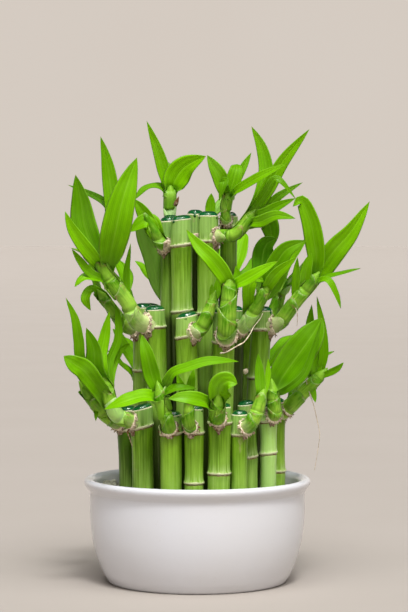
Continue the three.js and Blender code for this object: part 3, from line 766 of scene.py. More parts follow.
@dataclass(frozen=True)
class CaneFinish:
    """Living green skin of a cane, with pale scars at its nodes, and painted shade under its nodes
    and where other canes shade it.
    """

    dark: str = "3d6600"
    light: str = "8fbf30"
    crown: str = "a9d277"
    scar: str = "ddd6b6"
    line: str = "80583a"
    painted_shade_to_pale: str = "b9d888"
    milk: str = "c4d79a"
    freckle: str = "6d5f2a"
    scuff: str = "a39a6a"
    along: Point = (1.0, 1.0, 0.03)

    def make(self) -> bpy.types.Material:
        """Make the material.

        Returns:
            The material.
        """
        bench = Bench("cane_skin")
        tint = bench.painted("tint")
        near = bench.painted("ring")
        above = bench.painted("above")
        fine = bench.noise(2600.0, 2.0, bench.place(self.along))
        streak = bench.noise(900.0, 3.0, bench.place(self.along))
        cloud = bench.noise(110.0, 3.0, bench.place((1.0, 1.0, 0.4)))
        painted_shade_to_pale = bench.painted("painted_shade_to_pale")
        # Painted shade for the shoots' shadows: darker green just under the top node, growing paler
        # and milkier further down.
        share = tint + (painted_shade_to_pale - 0.5) * 0.4 + (cloud - 0.5) * 0.9
        share = share + (streak - 0.5) * 1.3 + (fine - 0.5) * 0.6
        pale = bench.painted("crown") * (streak * 0.7 + 0.2)
        pale = pale + tint.ease(0.85, 1.4) * (streak * 1.4 + 0.1)
        milky = near.ease(5.5, 1.2) * above * streak.ease(0.35, 0.65)
        ragged = near + (bench.noise(520.0, 3.0) - 0.5) * 1.5
        band = ragged.ease(1.15, 0.35)
        rust = bench.noise(330.0, 3.0).ease(0.42, 0.6)
        line = abs(ragged - 0.75).ease(0.5, 0.15) * (1 - above)
        cut = (bench.painted("cut") + (bench.noise(600.0, 2.0) - 0.5) * 0.9).ease(0.75, 0.25)
        freckle = bench.noise(1300.0, 1.0).ease(0.7, 0.8)
        scuff = bench.noise(150.0, 4.0, bench.place((1.0, 1.0, 0.6))).ease(0.66, 0.74)
        body = bench.layers(
            self.dark,
            (share, self.light),
            # Painted shade of the shoots: darker green just under each node.
            (near.ease(6.0, 1.0) * (1 - above) * 0.3, self.dark),
            (pale, self.crown),
            (painted_shade_to_pale * (streak * 0.7 + cloud * 0.3 - 0.3), self.painted_shade_to_pale),
            (milky * 0.4, self.milk),
            (band * 0.8, self.scar),
            (line * (0.5 + rust * 0.5), self.line),
            (cut * 0.85, self.scar),
            (freckle * 0.45, self.freckle),
            (scuff * 0.5, self.scuff),
        )
        # Painted shade: the skin is darker under the height where the other canes shade this one.
        body = bench.dim(body, 1 - bench.painted("painted_shade") * 0.86)
        scars = band + cut
        relief = streak * 0.35 + fine * 0.1 + scars * 0.7 - line
        return bench.close({
            "Base Color": body,
            "Roughness": scars * 0.25 + streak * 0.15 + 0.25,
            "Specular IOR Level": 0.3,
            "Specular Tint": WARM_GLOSS,
            "Coat Weight": streak.ease(0.4, 0.65) * 0.2,
            "Coat Roughness": 0.2,
            "Normal": bench.bump(relief, 0.0003, 0.6),
        })


@dataclass(frozen=True)
class FleshFinish:
    """Pale fibrous rim of a cut cane."""

    colour: str = "dbe0bf"
    fibre: str = "b7b786"

    def make(self) -> bpy.types.Material:
        """Make the material.

        Returns:
            The material.
        """
        bench = Bench("cut_rim")
        fibre = bench.noise(1600.0, 3.0)
        return bench.close({
            "Base Color": bench.blend(fibre.ease(0.35, 0.7), self.colour, self.fibre),
            "Roughness": 0.6,
            "Normal": bench.bump(fibre, 0.0003, 0.5),
        })


@dataclass(frozen=True)
class WaxFinish:
    """Dark green sealing wax, thin and pale at its edge."""

    deep: str = "003d18"
    thin: str = "0c6b33"

    def make(self) -> bpy.types.Material:
        """Make the material.

        Returns:
            The material.
        """
        bench = Bench("green_wax")
        ripple = bench.noise(420.0, 2.0)
        share = bench.painted("along") * 0.7 + (ripple - 0.5) * 0.5
        return bench.close({
            "Base Color": bench.blend(share, self.deep, self.thin),
            "Roughness": 0.16,
            "Coat Weight": 0.35,
            "Coat Roughness": 0.08,
            "Normal": bench.bump(ripple, 0.0009, 0.7),
        })


@dataclass(frozen=True)
class LeafFinish:
    """Thin satin leaf with fine veins that run along it."""

    dark: str = "397200"
    light: str = "86cc00"
    under: str = "9ccc62"
    base: str = "9dce48"
    rib: str = "a9d24a"
    rim: str = "bfe06a"
    sear: str = "8a7a32"
    lit_through: str = "a4d800"
    veins: float = 46.0

    def make(self) -> bpy.types.Material:
        """Make the material.

        Returns:
            The material.
        """
        bench = Bench("leaf_blade")
        tint = bench.painted("tint")
        along = bench.painted("along")
        across = bench.painted("across")
        cloud = bench.noise(60.0, 3.0)
        wander = bench.noise(300.0, 1.0) * 1.5
        vein = (across * self.veins + wander).sine() * 0.5 + 0.5
        broad = (across * (self.veins * 0.31) + wander).sine() * 0.5 + 0.5
        body = bench.blend(tint + (cloud - 0.5) * 0.6, self.dark, self.light)
        body = bench.dim(body, 0.82 + vein * 0.14 + broad * 0.14)
        rib = abs(across).ease(0.1, 0.02)
        sheath = along.ease(0.06, -0.04)
        throat = along.ease(0.22, 0.0) * (1 - along.ease(-0.05, -0.6) * 0.8)
        sear = along + (bench.noise(240.0, 3.0) - 0.5) * 0.1
        body = bench.layers(
            body,
            (rib * 0.14, self.rib),
            (abs(across).ease(0.9, 1.0) * (sheath * 0.4 + 0.38), self.rim),
            (bench.painted("under") * (0.6 - sheath * 0.5), self.under),
            (throat * (cloud * 0.8 + 0.2), self.base),
            (sear.ease(0.965, 1.0) * 0.6, self.sear),
        )
        relief = vein * 0.5 + broad * 0.5 - rib
        return bench.close(
            {
                "Base Color": body,
                "Roughness": cloud * 0.16 + 0.36,
                "Specular IOR Level": 0.16,
                "Specular Tint": WARM_GLOSS,
                "Coat Weight": cloud.ease(0.48, 0.7) * 0.32,
                "Coat Roughness": 0.28,
                "Normal": bench.bump(relief, 0.00018, 0.6),
            },
            self.lit_through,
            0.2,
        )


@dataclass(frozen=True)
class StemFinish:
    """Overlapping leaf sheaths round a young stem."""

    pale: str = "98c93c"
    green: str = "508c04"
    edge: str = "cbdc94"
    young: str = "bfe0a4"
    heel: str = "d0d6a0"
    dry: str = "8d6f43"
    shade: str = "355f04"

    def make(self) -> bpy.types.Material:
        """Make the material.

        Returns:
            The material.
        """
        bench = Bench("stem_sheaths")
        along = bench.painted("along")
        step = bench.painted("ring")
        tint = bench.painted("tint")
        fibre = bench.noise(1100.0, 2.0)
        cloud = bench.noise(170.0, 3.0)
        round_it = {0: bench.painted("across"), 1: along * 0.8, 2: tint * 9.0}
        line = bench.noise(7.0, 4.0, bench.node("ShaderNodeCombineXYZ", None, round_it)) - 0.5
        share = step * 0.8 + (cloud - 0.5) * 1.0 + (0.5 - tint) * 0.7 + along * 0.3 + line * 2.2
        body = bench.blend(share, self.pale, self.green)
        body = bench.dim(body, 0.88 + fibre * 0.24)
        lip = (step + (fibre - 0.5) * 0.1).ease(0.9, 0.98)
        rust = bench.noise(330.0, 4.0).ease(0.53, 0.66) * (step.ease(0.6, 0.95) * 0.8 + 0.2)
        heel = (along + (cloud - 0.5) * 0.3).ease(0.36, 0.12)
        body = bench.layers(
            body,
            # Painted shade where each sheath comes out from under the lip of the one before.
            (step.ease(0.25, 0.0) * 0.5, self.shade),
            (lip * cloud.ease(0.35, 0.6) * 0.4, self.edge),
            (rust * (0.35 + tint * 0.4), self.dry),
            (tint.ease(1.0, 1.6) * 0.75, self.young),
            (heel * 0.75, self.heel),
        )
        return bench.close({
            "Base Color": body,
            "Roughness": cloud * 0.2 + 0.3,
            "Specular IOR Level": 0.25,
            "Specular Tint": WARM_GLOSS,
            "Coat Weight": cloud.ease(0.45, 0.65) * 0.25,
            "Coat Roughness": 0.16,
            "Normal": bench.bump(fibre * 0.5 + lip + cloud + line * 0.4, 0.00045, 0.6),
        })


@dataclass(frozen=True)
class DryFinish:
    """Corky collars, papery scales, buds and thin roots, told apart by their tint."""

    brown: str = "6e4a2a"
    cream: str = "efe0c6"
    rosy: str = "b07f62"

    def make(self) -> bpy.types.Material:
        """Make the material.

        Returns:
            The material.
        """
        bench = Bench("dry_growth")
        fibre = bench.noise(1300.0, 3.0)
        patch = bench.noise(560.0, 3.0)
        share = bench.painted("tint") + (patch - 0.5) * 2.2
        rose = patch.ease(0.54, 0.66) * 0.5
        body = bench.layers(self.brown, (share, self.cream), (rose, self.rosy))
        body = bench.dim(body, 0.7 + fibre * 0.6)
        return bench.close({
            "Base Color": body,
            "Roughness": 0.75,
            "Specular IOR Level": 0.2,
            "Normal": bench.bump(fibre * 0.6 + patch, 0.0006, 0.8),
        })


@dataclass(frozen=True)
class TableFinish:
    """Plain pale ground."""

    colour: str = "a9a19a"
    cloud: str = "a59d95"

    def make(self) -> bpy.types.Material:
        """Make the material.

        Returns:
            The material.
        """
        bench = Bench("pale_ground")
        body = bench.blend(bench.noise(8.0, 2.0), self.colour, self.cloud)
        return bench.close({"Base Color": body, "Roughness": 0.9, "Specular IOR Level": 0.1})


@dataclass(frozen=True)
class WallFinish:
    """Low wall far behind, as light as the ground in front of it."""

    colour: str = "d0c7be"
    cloud: str = "ccc2b8"
    glow: float = 1.075

    def make(self) -> bpy.types.Material:
        """Make the material.

        Returns:
            The material.
        """
        bench = Bench("pale_wall")
        body = bench.blend(bench.noise(0.8, 2.0), self.colour, self.cloud)
        return bench.close({
            "Base Color": BLACK,
            "Roughness": 1.0,
            "Specular IOR Level": 0.0,
            "Emission Color": body,
            "Emission Strength": self.glow,
        })


@dataclass
class Finishes:
    """Every material, made once."""

    glaze: bpy.types.Material = field(default_factory=GlazeFinish().make)
    clay: bpy.types.Material = field(default_factory=ClayFinish().make)
    pebble: bpy.types.Material = field(default_factory=PebbleFinish().make)
    cane: bpy.types.Material = field(default_factory=CaneFinish().make)
    flesh: bpy.types.Material = field(default_factory=FleshFinish().make)
    wax: bpy.types.Material = field(default_factory=WaxFinish().make)
    leaf: bpy.types.Material = field(default_factory=LeafFinish().make)
    stem: bpy.types.Material = field(default_factory=StemFinish().make)
    dry: bpy.types.Material = field(default_factory=DryFinish().make)
    table: bpy.types.Material = field(default_factory=TableFinish().make)
    wall: bpy.types.Material = field(default_factory=WallFinish().make)


@dataclass
class Pelt:
    """Points, faces and painted values that become one mesh. Points are in millimetres."""

    paints: tuple[str, ...] = ("tint",)
    points: list[Vector] = field(default_factory=list)
    faces: list[tuple[int, ...]] = field(default_factory=list)
    slots: list[int] = field(default_factory=list)
    values: dict[str, list[float]] = field(default_factory=dict)

    def row(self, points: Iterable[Vector], **paint: float | Sequence[float]) -> list[int]:
        """Add a row of points.

        Args:
            points: The points.
            paint: For each painted value, one number, or one for each point.

        Returns:
            The indices of the points.
        """
        start = len(self.points)
        self.points.extend(points)
        count = len(self.points) - start
        for name in self.paints:
            value = paint.get(name, 0.0)
            many = [float(value)] * count if isinstance(value, (int, float)) else list(value)
            self.values.setdefault(name, []).extend(many)
        return list(range(start, start + count))

    def band(self, first: list[int], second: list[int], slot: int = 0) -> None:
        """Join two closed rows by faces; a row of one point closes an end.

        Args:
            first: One row.
            second: The next row.
            slot: Material slot of the faces.
        """
        count = max(len(first), len(second))
        for side in range(count):
            after = (side + 1) % count
            if len(first) == 1:
                face = (first[0], second[after], second[side])
            elif len(second) == 1:
                face = (first[side], first[after], second[0])
            else:
                face = (first[side], first[after], second[after], second[side])
            self.faces.append(face)
            self.slots.append(slot)

    def loft(self, rows: Sequence[list[int]], slot: int = 0) -> None:
        """Join rows one after the other.

        Args:
            rows: The rows.
            slot: Material slot of the faces.
        """
        for first, second in zip(rows, rows[1:]):
            self.band(first, second, slot)

    def build(self, name: str, finishes: Sequence[bpy.types.Material]) -> bpy.types.Object:
        """Make the mesh object, with all its faces looking out.

        Args:
            name: The object's name.
            finishes: A material for each slot.

        Returns:
            The object.
        """
        mesh = bpy.data.meshes.new(name)
        mesh.from_pydata([point * MM for point in self.points], [], self.faces)
        for finish in finishes:
            mesh.materials.append(finish)
        mesh.polygons.foreach_set("material_index", self.slots)
        mesh.polygons.foreach_set("use_smooth", [True] * len(self.faces))
        for key, value in self.values.items():
            layer = mesh.attributes.new(key, "FLOAT", "POINT")
            layer.data.foreach_set("value", value)
        shape = bmesh.new()
        shape.from_mesh(mesh)
        bmesh.ops.recalc_face_normals(shape, faces=shape.faces)
        shape.to_mesh(mesh)
        shape.free()
        return link(name, mesh)


class Slot(Enum):
    """Material slots."""

    BOWL = "bowl_glaze"
    GRAVEL = "gravel"
    CANE = "cane"
    SHOOT = "shoot"


def stand_for(piece: bpy.types.Object, slot: Slot, *nodes: str) -> None:
    """Set a piece on the frame.

    Args:
        piece: The new piece.
        slot: The material slot that it belongs to. It is not used.
        nodes: Solids that it stands for, if any.
    """
    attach(piece, BODY)
    if nodes:
        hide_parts(*nodes)
    LOG.info("%s: %d faces", piece.name, len(piece.data.polygons))


def cubic(start: Blend, leave: Blend, end: Blend, arrive: Blend, step: float) -> Blend:
    """Give the point of a cubic between two points.

    Args:
        start: The first point.
        leave: The slope there.
        end: The second point.
        arrive: The slope there.
        step: Share of the way, 0 to 1.

    Returns:
        The point.
    """
    square = step * step
    cube = square * step
    return (
        start * (2 * cube - 3 * square + 1)
        + leave * (cube - 2 * square + step)
        + end * (3 * square - 2 * cube)
        + arrive * (cube - square)
    )


@dataclass(frozen=True)
class Course:
    """A smooth line through points."""

    points: tuple[Vector, ...]
    nudge: float = 0.002
    spans_measured: int = 24

    def _knot(self, index: int) -> Vector:
        """Give a point, or the mirrored one beyond an end.

        Args:
            index: The point's number, at most one past an end.

        Returns:
            The point.
        """
        last = len(self.points) - 1
        if index < 0:
            return self.points[0] * 2 - self.points[1]
        if index > last:
            return self.points[last] * 2 - self.points[last - 1]
        return self.points[index]

    def at(self, share: float) -> Vector:
        """Give the point at a share of the way, 0 at the start and 1 at the end.

        Args:
            share: The share.

        Returns:
            The point.
        """
        spans = len(self.points) - 1
        place = max(0.0, min(1.0, share)) * spans
        index = min(int(place), spans - 1)
        before, start, end, after = (self._knot(index + offset) for offset in (-1, 0, 1, 2))
        return cubic(start, (end - before) * 0.5, end, (after - start) * 0.5, place - index)

    def heading(self, share: float) -> Vector:
        """Give the direction at a share of the way."""
        low, high = max(0.0, share - self.nudge), min(1.0, share + self.nudge)
        return (self.at(high) - self.at(low)).normalized()

    def length(self) -> float:
        """Give the length."""
        steps = [self.at(index / self.spans_measured) for index in range(self.spans_measured + 1)]
        return sum((b - a).length for a, b in zip(steps, steps[1:]))


def course(points: Iterable[Sequence[float]]) -> Course:
    """Make a smooth line from listed points."""
    return Course(tuple(Vector(point) for point in points))


def profile_at(stops: Stops, place: float) -> float:
    """Read a profile that eases from each stop to the next.

    Args:
        stops: Places and values, in order.
        place: Where to read it.

    Returns:
        The value there.
    """
    for (start, low), (end, high) in zip(stops, stops[1:]):
        if place <= end:
            share = max(0.0, (place - start) / (end - start))
            return low + (high - low) * share * share * (3 - 2 * share)
    return stops[-1][1]


def outline_at(stops: Stops, place: float) -> float:
    """Read a profile as one smooth curve through its stops, and 0 after the last one.

    Args:
        stops: Places and values, in order.
        place: Where to read it.

    Returns:
        The value there.
    """
    for index, ((start, low), (end, high)) in enumerate(zip(stops, stops[1:])):
        if place <= end:
            before = stops[max(0, index - 1)]
            after = stops[min(len(stops) - 1, index + 2)]
            leave = (high - before[1]) / (end - before[0]) * (end - start)
            arrive = (after[1] - low) / (after[0] - start) * (end - start)
            return cubic(low, leave, high, arrive, (place - start) / (end - start))
    return 0.0


@dataclass(frozen=True)
class Bowl:
    """The turned bowl: foot, belly, neck and rolled flange."""

    sides: int = 144
    steps: int = 110
    floor: float = 5.5
    inner: Stops = (
        (40, 5.5), (46.5, 7.2), (51.2, 12.5), (53.9, 22),
        (55.5, 36), (55.8, 47), (57.1, 54), (57.7, 56.4),
    )
    outer: Stops = (
        (59, 57.8), (61.2, 58.4), (62.7, 57.9), (63.4, 56.6), (63.1, 54.9),
        (61.9, 53), (60.7, 51.4), (60.3, 49.5), (60.3, 42), (59.9, 33),
        (58.6, 23), (56.1, 13.5), (52.9, 5.6), (50.6, 1.4),
    )
    foot: Stops = ((49.8, 0.45), (49.0, 0.05))
    underside: Stops = ((48.4, 0.0), (45.0, 0.0))

    def build(self, finishes: Finishes) -> None:
        """Turn the bowl and dress it.

        Args:
            finishes: Every material.
        """
        wall = course([(radius, 0, height) for radius, height in (*self.inner, *self.outer)])
        profile = [wall.at(index / self.steps) for index in range(self.steps + 1)]
        glazed = [*((point.x, point.z) for point in profile), *self.foot]
        pelt = Pelt(())
        rows = [pelt.row([Vector((0, 0, self.floor))])]
        rows += [pelt.row(level_ring(*spot, self.sides)) for spot in glazed]
        pelt.loft(rows, 0)
        base = [rows[-1], *(pelt.row(level_ring(*spot, self.sides)) for spot in self.underside)]
        base.append(pelt.row([Vector((0, 0, 0))]))
        pelt.loft(base, 1)
        stand_for(pelt.build("white_bowl", [finishes.glaze, finishes.clay]), Slot.BOWL, "bowl")


@dataclass(frozen=True)
class Cane:
    """One cut cane: its skin, nodes, pale cut rim and wax cap.

    Its skin carries the distances to the nearest node (ring) and to the cut (cut), whether it is
    above that node (above), and how far it is in the pale zone over the top node (crown), in the
    zone under the top node that runs from painted shade, for the shoot's shadow, to a paler, milky
    green further down (painted_shade_to_pale) and in the painted shade of the other canes
    (painted_shade).
    """

    name: str
    foot: tuple[float, float]
    head: tuple[float, float]
    top: float
    width: float
    slope: float
    nodes: tuple[float, ...]
    shade: float
    painted_shade_below: float
    sides: int = 28
    row_step: float = 4.0
    buried_rows: tuple[float, ...] = (CANE_FOOT, 30.0, 44.0)
    node_rows: tuple[float, ...] = (-3.2, -1.8, -1.2, -0.8, -0.4, 0.0, 0.4, 0.8, 1.3, 2.0, 3.2)
    wax_rows: Stops = (
        (0.0, 0.05), (0.03, 0.7), (0.12, 1.35), (0.28, 1.95), (0.5, 2.35), (0.75, 2.5),
    )
    oval: float = 0.018
    wobble: float = 0.008
    wave: float = 0.12
    wave_length: float = 7.3
    wax_height: float = 2.45
    wax_inset: float = 0.55
    wax_creep: float = 0.5
    wax_drip: float = 1.3
    rim_rows: Stops = ((0.4, 0.12), (1.3, 0.05))
    ridges: tuple[Point, ...] = ((0.28, 0.0, 4.5), (0.5, 0.35, 0.85), (-0.3, -0.8, 0.4))
    crown_rise: Stops = ((0.0, 0.0), (6.0, 1.0))
    painted_shade_fall: Stops = ((-4.0, 1.0), (4.0, 0.0))
    painted_shade_to_pale_rise: Stops = ((8.0, 0.0), (36.0, 1.0))

    @property
    def phase(self) -> float:
        """Give an angle of the cane's own, so that no two look alike."""
        return (self.foot[0] * 1.7 + self.foot[1] * 2.9) % math.tau

    @property
    def body(self) -> float:
        """Give the skin's plain radius, between the nodes."""
        return self.width / 2 - SKIN_INSET

    def centre(self, height: float) -> Vector:
        """Give the point of the axis at a height.

        Args:
            height: The height.

        Returns:
            The point.
        """
        share = (height - CANE_FOOT) / (self.top - CANE_FOOT)
        x, y = (start + share * (end - start) for start, end in zip(self.foot, self.head))
        return Vector((x, y, height))

    def _ridge(self, gap: float) -> float:
        """Give how far the skin stands out at a distance above a node: swelling, lip and groove.

        Args:
            gap: The distance.

        Returns:
            How far it stands out.
        """
        return sum(
            height * math.exp(-(((gap - middle) / width) ** 2))
            for height, middle, width in self.ridges
        )

    def _heights(self) -> list[float]:
        """List the heights of the skin's rows, which are close together at its nodes.

        Returns:
            The heights, from below.
        """
        count = int((self.top - GRAVEL_TOP) / self.row_step)
        plain = [GRAVEL_TOP - 2.0 + self.row_step * step for step in range(count)]
        plain = [
            height
            for height in (*self.buried_rows, *plain)
            if all(abs(height - node) > self.row_step for node in self.nodes)
        ]
        near = [node + gap for node in self.nodes for gap in self.node_rows]
        return sorted([*plain, *near, self.top - 1.0, self.top - 0.3])

    def _row(self, pelt: Pelt, height: float, radius: float, lift: float = 0.0) -> list[int]:
        """Add a row round the axis, tilted as the cut is.

        Args:
            pelt: The mesh to add to.
            height: Height of the row's middle.
            radius: Its radius.
            lift: Extra height of the whole row.

        Returns:
            The row's indices.
        """
        middle = self.centre(height)
        slope = self.slope if height > GRAVEL_TOP else 0.0
        nearest = min((height - node for node in self.nodes), key=abs)
        over = height - max(self.nodes)
        marks = {
            "ring": min(MARK_REACH, abs(nearest)),
            "above": float(nearest > 0),
            "cut": min(MARK_REACH, self.top - height),
            "crown": profile_at(self.crown_rise, over),
            # Painted shade under the height where the other canes shade this cane.
            "painted_shade": profile_at(self.painted_shade_fall, height - self.painted_shade_below),
            # Painted shade for the shoot's shadow just under the top node, fading to a paler green
            # lower down.
            "painted_shade_to_pale": profile_at(self.painted_shade_to_pale_rise, -over),
        }
        points = []
        for angle in turns(self.sides):
            reach = 1 + self.oval * math.cos(2 * angle + self.phase)
            reach += self.wobble * math.sin(3 * angle + height / 9)
            across = radius * reach * math.cos(angle)
            spot = Vector((across, radius * reach * math.sin(angle), slope * across + lift))
            points.append(middle + spot)
        return pelt.row(points, tint=self.shade, **marks)

    def _skin(self, pelt: Pelt) -> list[int]:
        """Add the skin up to the cut.

        Args:
            pelt: The mesh to add to.

        Returns:
            The last row.
        """
        deep = {"ring": MARK_REACH, "cut": MARK_REACH}
        rows = [pelt.row([self.centre(CANE_FOOT)], tint=self.shade, **deep)]
        for height in self._heights():
            wave = self.wave * math.sin(height / self.wave_length + self.phase)
            ridge = sum(self._ridge(height - node) for node in self.nodes)
            rows.append(self._row(pelt, height, self.body + wave + ridge))
        rows.append(self._row(pelt, self.top, self.body - 0.18))
        pelt.loft(rows, 0)
        return rows[-1]

    def _cap(self, pelt: Pelt, last: list[int]) -> None:
        """Add the pale rim and the wax dome.

        Args:
            pelt: The mesh to add to.
            last: Top row of the skin.
        """
        middle = self.centre(self.top)
        rim = [last]
        for inward, lift in self.rim_rows:
            rim.append(self._row(pelt, self.top, self.body - inward, lift))
        rim.append(pelt.row([middle], tint=self.shade))
        pelt.loft(rim, 1)
        rows = [self._wax_row(pelt, inward, lift) for inward, lift in self.wax_rows]
        rows.append(pelt.row([middle + Vector((0, 0, self.wax_height))]))
        rows.insert(0, pelt.row([middle]))
        pelt.loft(rows, 2)

    def _wax_row(self, pelt: Pelt, inward: float, lift: float) -> list[int]:
        """Add one row of the wax, which creeps over the rim in places.

        Args:
            pelt: The mesh to add to.
            inward: Share of the way from the wax's edge to its middle.
            lift: Height over the cut.

        Returns:
            The row's indices.
        """
        middle = self.centre(self.top)
        points = []
        for angle in turns(self.sides):
            creep = max(0.0, math.sin(3 * angle + self.phase) + 0.3 * math.sin(7 * angle)) ** 2
            reach = (self.body - self.wax_inset + self.wax_creep * creep) * (1 - inward)
            drop = -self.wax_drip * creep * max(0.0, 1 - 9 * inward)
            across = reach * math.cos(angle)
            height = self.slope * across + lift + drop
            points.append(middle + Vector((across, reach * math.sin(angle), height)))
        return pelt.row(points, along=max(0.0, 1 - 3 * inward), tint=self.shade)

    def build(self, finishes: Finishes) -> None:
        """Build the cane and dress it.

        Args:
            finishes: Every material.
        """
        pelt = Pelt(("tint", "along", "ring", "above", "cut", "crown", "painted_shade", "painted_shade_to_pale"))
        self._cap(pelt, self._skin(pelt))
        piece = pelt.build(f"{self.name}_grown", [finishes.cane, finishes.flesh, finishes.wax])
        stand_for(piece, Slot.CANE, self.name)


@dataclass(frozen=True)
class Gravel:
    """The bed of pebbles that fills the bowl."""

    canes: tuple[Cane, ...]
    pebbles: int = 1150
    seed: int = 11
    edge: float = 54.6
    grit_depth: float = 1.2
    grit_floor: float = 5.9
    grit_sides: int = 48
    grit_wall: Stops = (
        (39.9, 5.9), (46.2, 7.6), (50.8, 12.9), (53.4, 22.3), (55.0, 36.3), (55.3, 48.0),
    )
    grit_top: tuple[float, ...] = (54.0, 44.0, 30.0, 14.0)
    heap_start: float = -28.0
    heap_run: float = 26.0
    pebble_size: tuple[float, float] = (1.3, 2.5)
    pebble_depth: tuple[float, float] = (-1.6, 0.4)
    pebble_bulge: tuple[float, float] = (0.88, 1.1)
    flatness: float = 0.7
    overlap: float = 0.45
    pebble_sides: int = 8
    latitudes: tuple[float, ...] = (-52, -15, 22, 58)

    def surface(self, x: float) -> float:
        """Give the height of the pebbles' surface, which is heaped at the left."""
        share = max(0.0, min(1.0, (self.heap_start - x) / self.heap_run))
        return GRAVEL_TOP + HEAP_HEIGHT * share * share * (3 - 2 * share)

    def _bed(self, pelt: Pelt) -> None:
        """Add the solid bed under the pebbles, which is painted near black as shade.

        Args:
            pelt: The mesh to add to.
        """
        rings = [level_ring(*spot, self.grit_sides) for spot in self.grit_wall]
        for radius in self.grit_top:
            ring = level_ring(radius, 0, self.grit_sides)
            for point in ring:
                point.z = self.surface(point.x) - self.grit_depth
            rings.append(ring)
        low, high = Vector((0, 0, self.grit_floor)), Vector((0, 0, GRAVEL_TOP - self.grit_depth))
        pelt.loft([pelt.row(points, under=1.0) for points in ([low], *rings, [high])])

    def _clear(self, spot: Vector, size: float) -> bool:
        """Tell whether a pebble would stand free of the canes.

        Args:
            spot: The pebble's middle.
            size: Its radius.

        Returns:
            True where it would.
        """
        for cane in self.canes:
            middle = cane.centre(GRAVEL_TOP)
            reach = cane.width / 2 + size * self.overlap
            if math.hypot(spot.x - middle.x, spot.y - middle.y) < reach:
                return False
        return True

    def _pebble(self, pelt: Pelt, spot: Vector, size: float, draw: random.Random) -> None:
        """Add one pebble.

        Args:
            pelt: The mesh to add to.
            spot: Its middle.
            size: Its radius.
            draw: Source of its own shape.
        """
        turn = Euler([draw.uniform(0, math.tau) for _ in range(3)]).to_matrix()
        wide, deep = draw.uniform(0.75, 1.2), draw.uniform(0.7, 1.0)
        shape = Matrix.Diagonal([size * wide, size * deep, size * self.flatness])
        tint = draw.random()
        rings = [[Vector((0, 0, -1))]]
        for latitude in self.latitudes:
            low = math.radians(latitude)
            ring = []
            for angle in turns(self.pebble_sides):
                bulge = draw.uniform(*self.pebble_bulge)
                flat = math.cos(low) * bulge
                point = (flat * math.cos(angle), flat * math.sin(angle), math.sin(low) * bulge)
                ring.append(Vector(point))
            rings.append(ring)
        rings.append([Vector((0, 0, 1))])
        pelt.loft([
            pelt.row((spot + turn @ (shape @ point) for point in ring), tint=tint) for ring in rings
        ])

    def build(self, finishes: Finishes) -> None:
        """Build the bed and its pebbles and dress them.

        Args:
            finishes: Every material.
        """
        draw = random.Random(self.seed)
        pelt = Pelt(("tint", "under"))
        self._bed(pelt)
        for _ in range(self.pebbles):
            radius = self.edge * math.sqrt(draw.random())
            angle = draw.uniform(0, math.tau)
            size = draw.uniform(*self.pebble_size)
            radius = min(radius, self.edge - size)
            spot = Vector((radius * math.cos(angle), radius * math.sin(angle), 0))
            spot.z = self.surface(spot.x) + draw.uniform(*self.pebble_depth)
            if self._clear(spot, size):
                self._pebble(pelt, spot, size, draw)
        stand_for(pelt.build("pebble_bed", [finishes.pebble]), Slot.GRAVEL, "gravel")


# Along a leaf: its share of the full width, its fold in degrees, how far it has turned from the
# stem's heading to its own, and how far its clasp round the stem has opened.
LEAF_WIDTHS = ((0.0, 0.7), (0.2, 0.9), (0.42, 1.0), (0.7, 0.8), (0.9, 0.36), (1.0, 0.0))
LEAF_FOLDS = ((0.0, 34.0), (0.18, 24.0), (0.45, 13.0), (1.0, 18.0))
LEAF_TURN = ((0.0, 0.0), (0.16, 1.0))
LEAF_OPENING = ((0.02, 0.0), (0.22, 1.0))

# How a leaf clasps its stem, how long its sheath is, and its tint where none is listed. A leaf
# that is narrower than the first number has no sheath.
WIDTH_WITH_SHEATH = 6.0
NARROW_CLASP = 0.42
CLASP_FACTOR = 1.05
CLASP_GAP = 0.2
CLASP_STEP = 0.1
SHEATH_LEAST = 4.0
SHEATH_BY_WIDTH = 0.5
SHEATH_SHARE = 0.75
TINT_LEAST = 0.35
TINT_BY_LOT = 0.5


def girth_at(radii: Sequence[float], share: float) -> float:
    """Give a stem's radius at a share of its length.

    Args:
        radii: Its radii at even steps.
        share: The share.

    Returns:
        The radius.
    """
    place = share * (len(radii) - 1)
    index = max(0, min(int(place), len(radii) - 2))
    return radii[index] + (radii[index + 1] - radii[index]) * (place - index)


def sway(angle: float, phase: float) -> float:
    """Give an uneven value round a ring, between about -1 and 1.

    Args:
        angle: The angle on the ring.
        phase: Shift that sets one ring off from another.

    Returns:
        The value.
    """
    return (
        0.5 * math.sin(3 * angle + phase)
        + 0.3 * math.sin(5 * angle + 2.3 * phase)
        + 0.2 * math.sin(9 * angle + 4.1 * phase)
    )


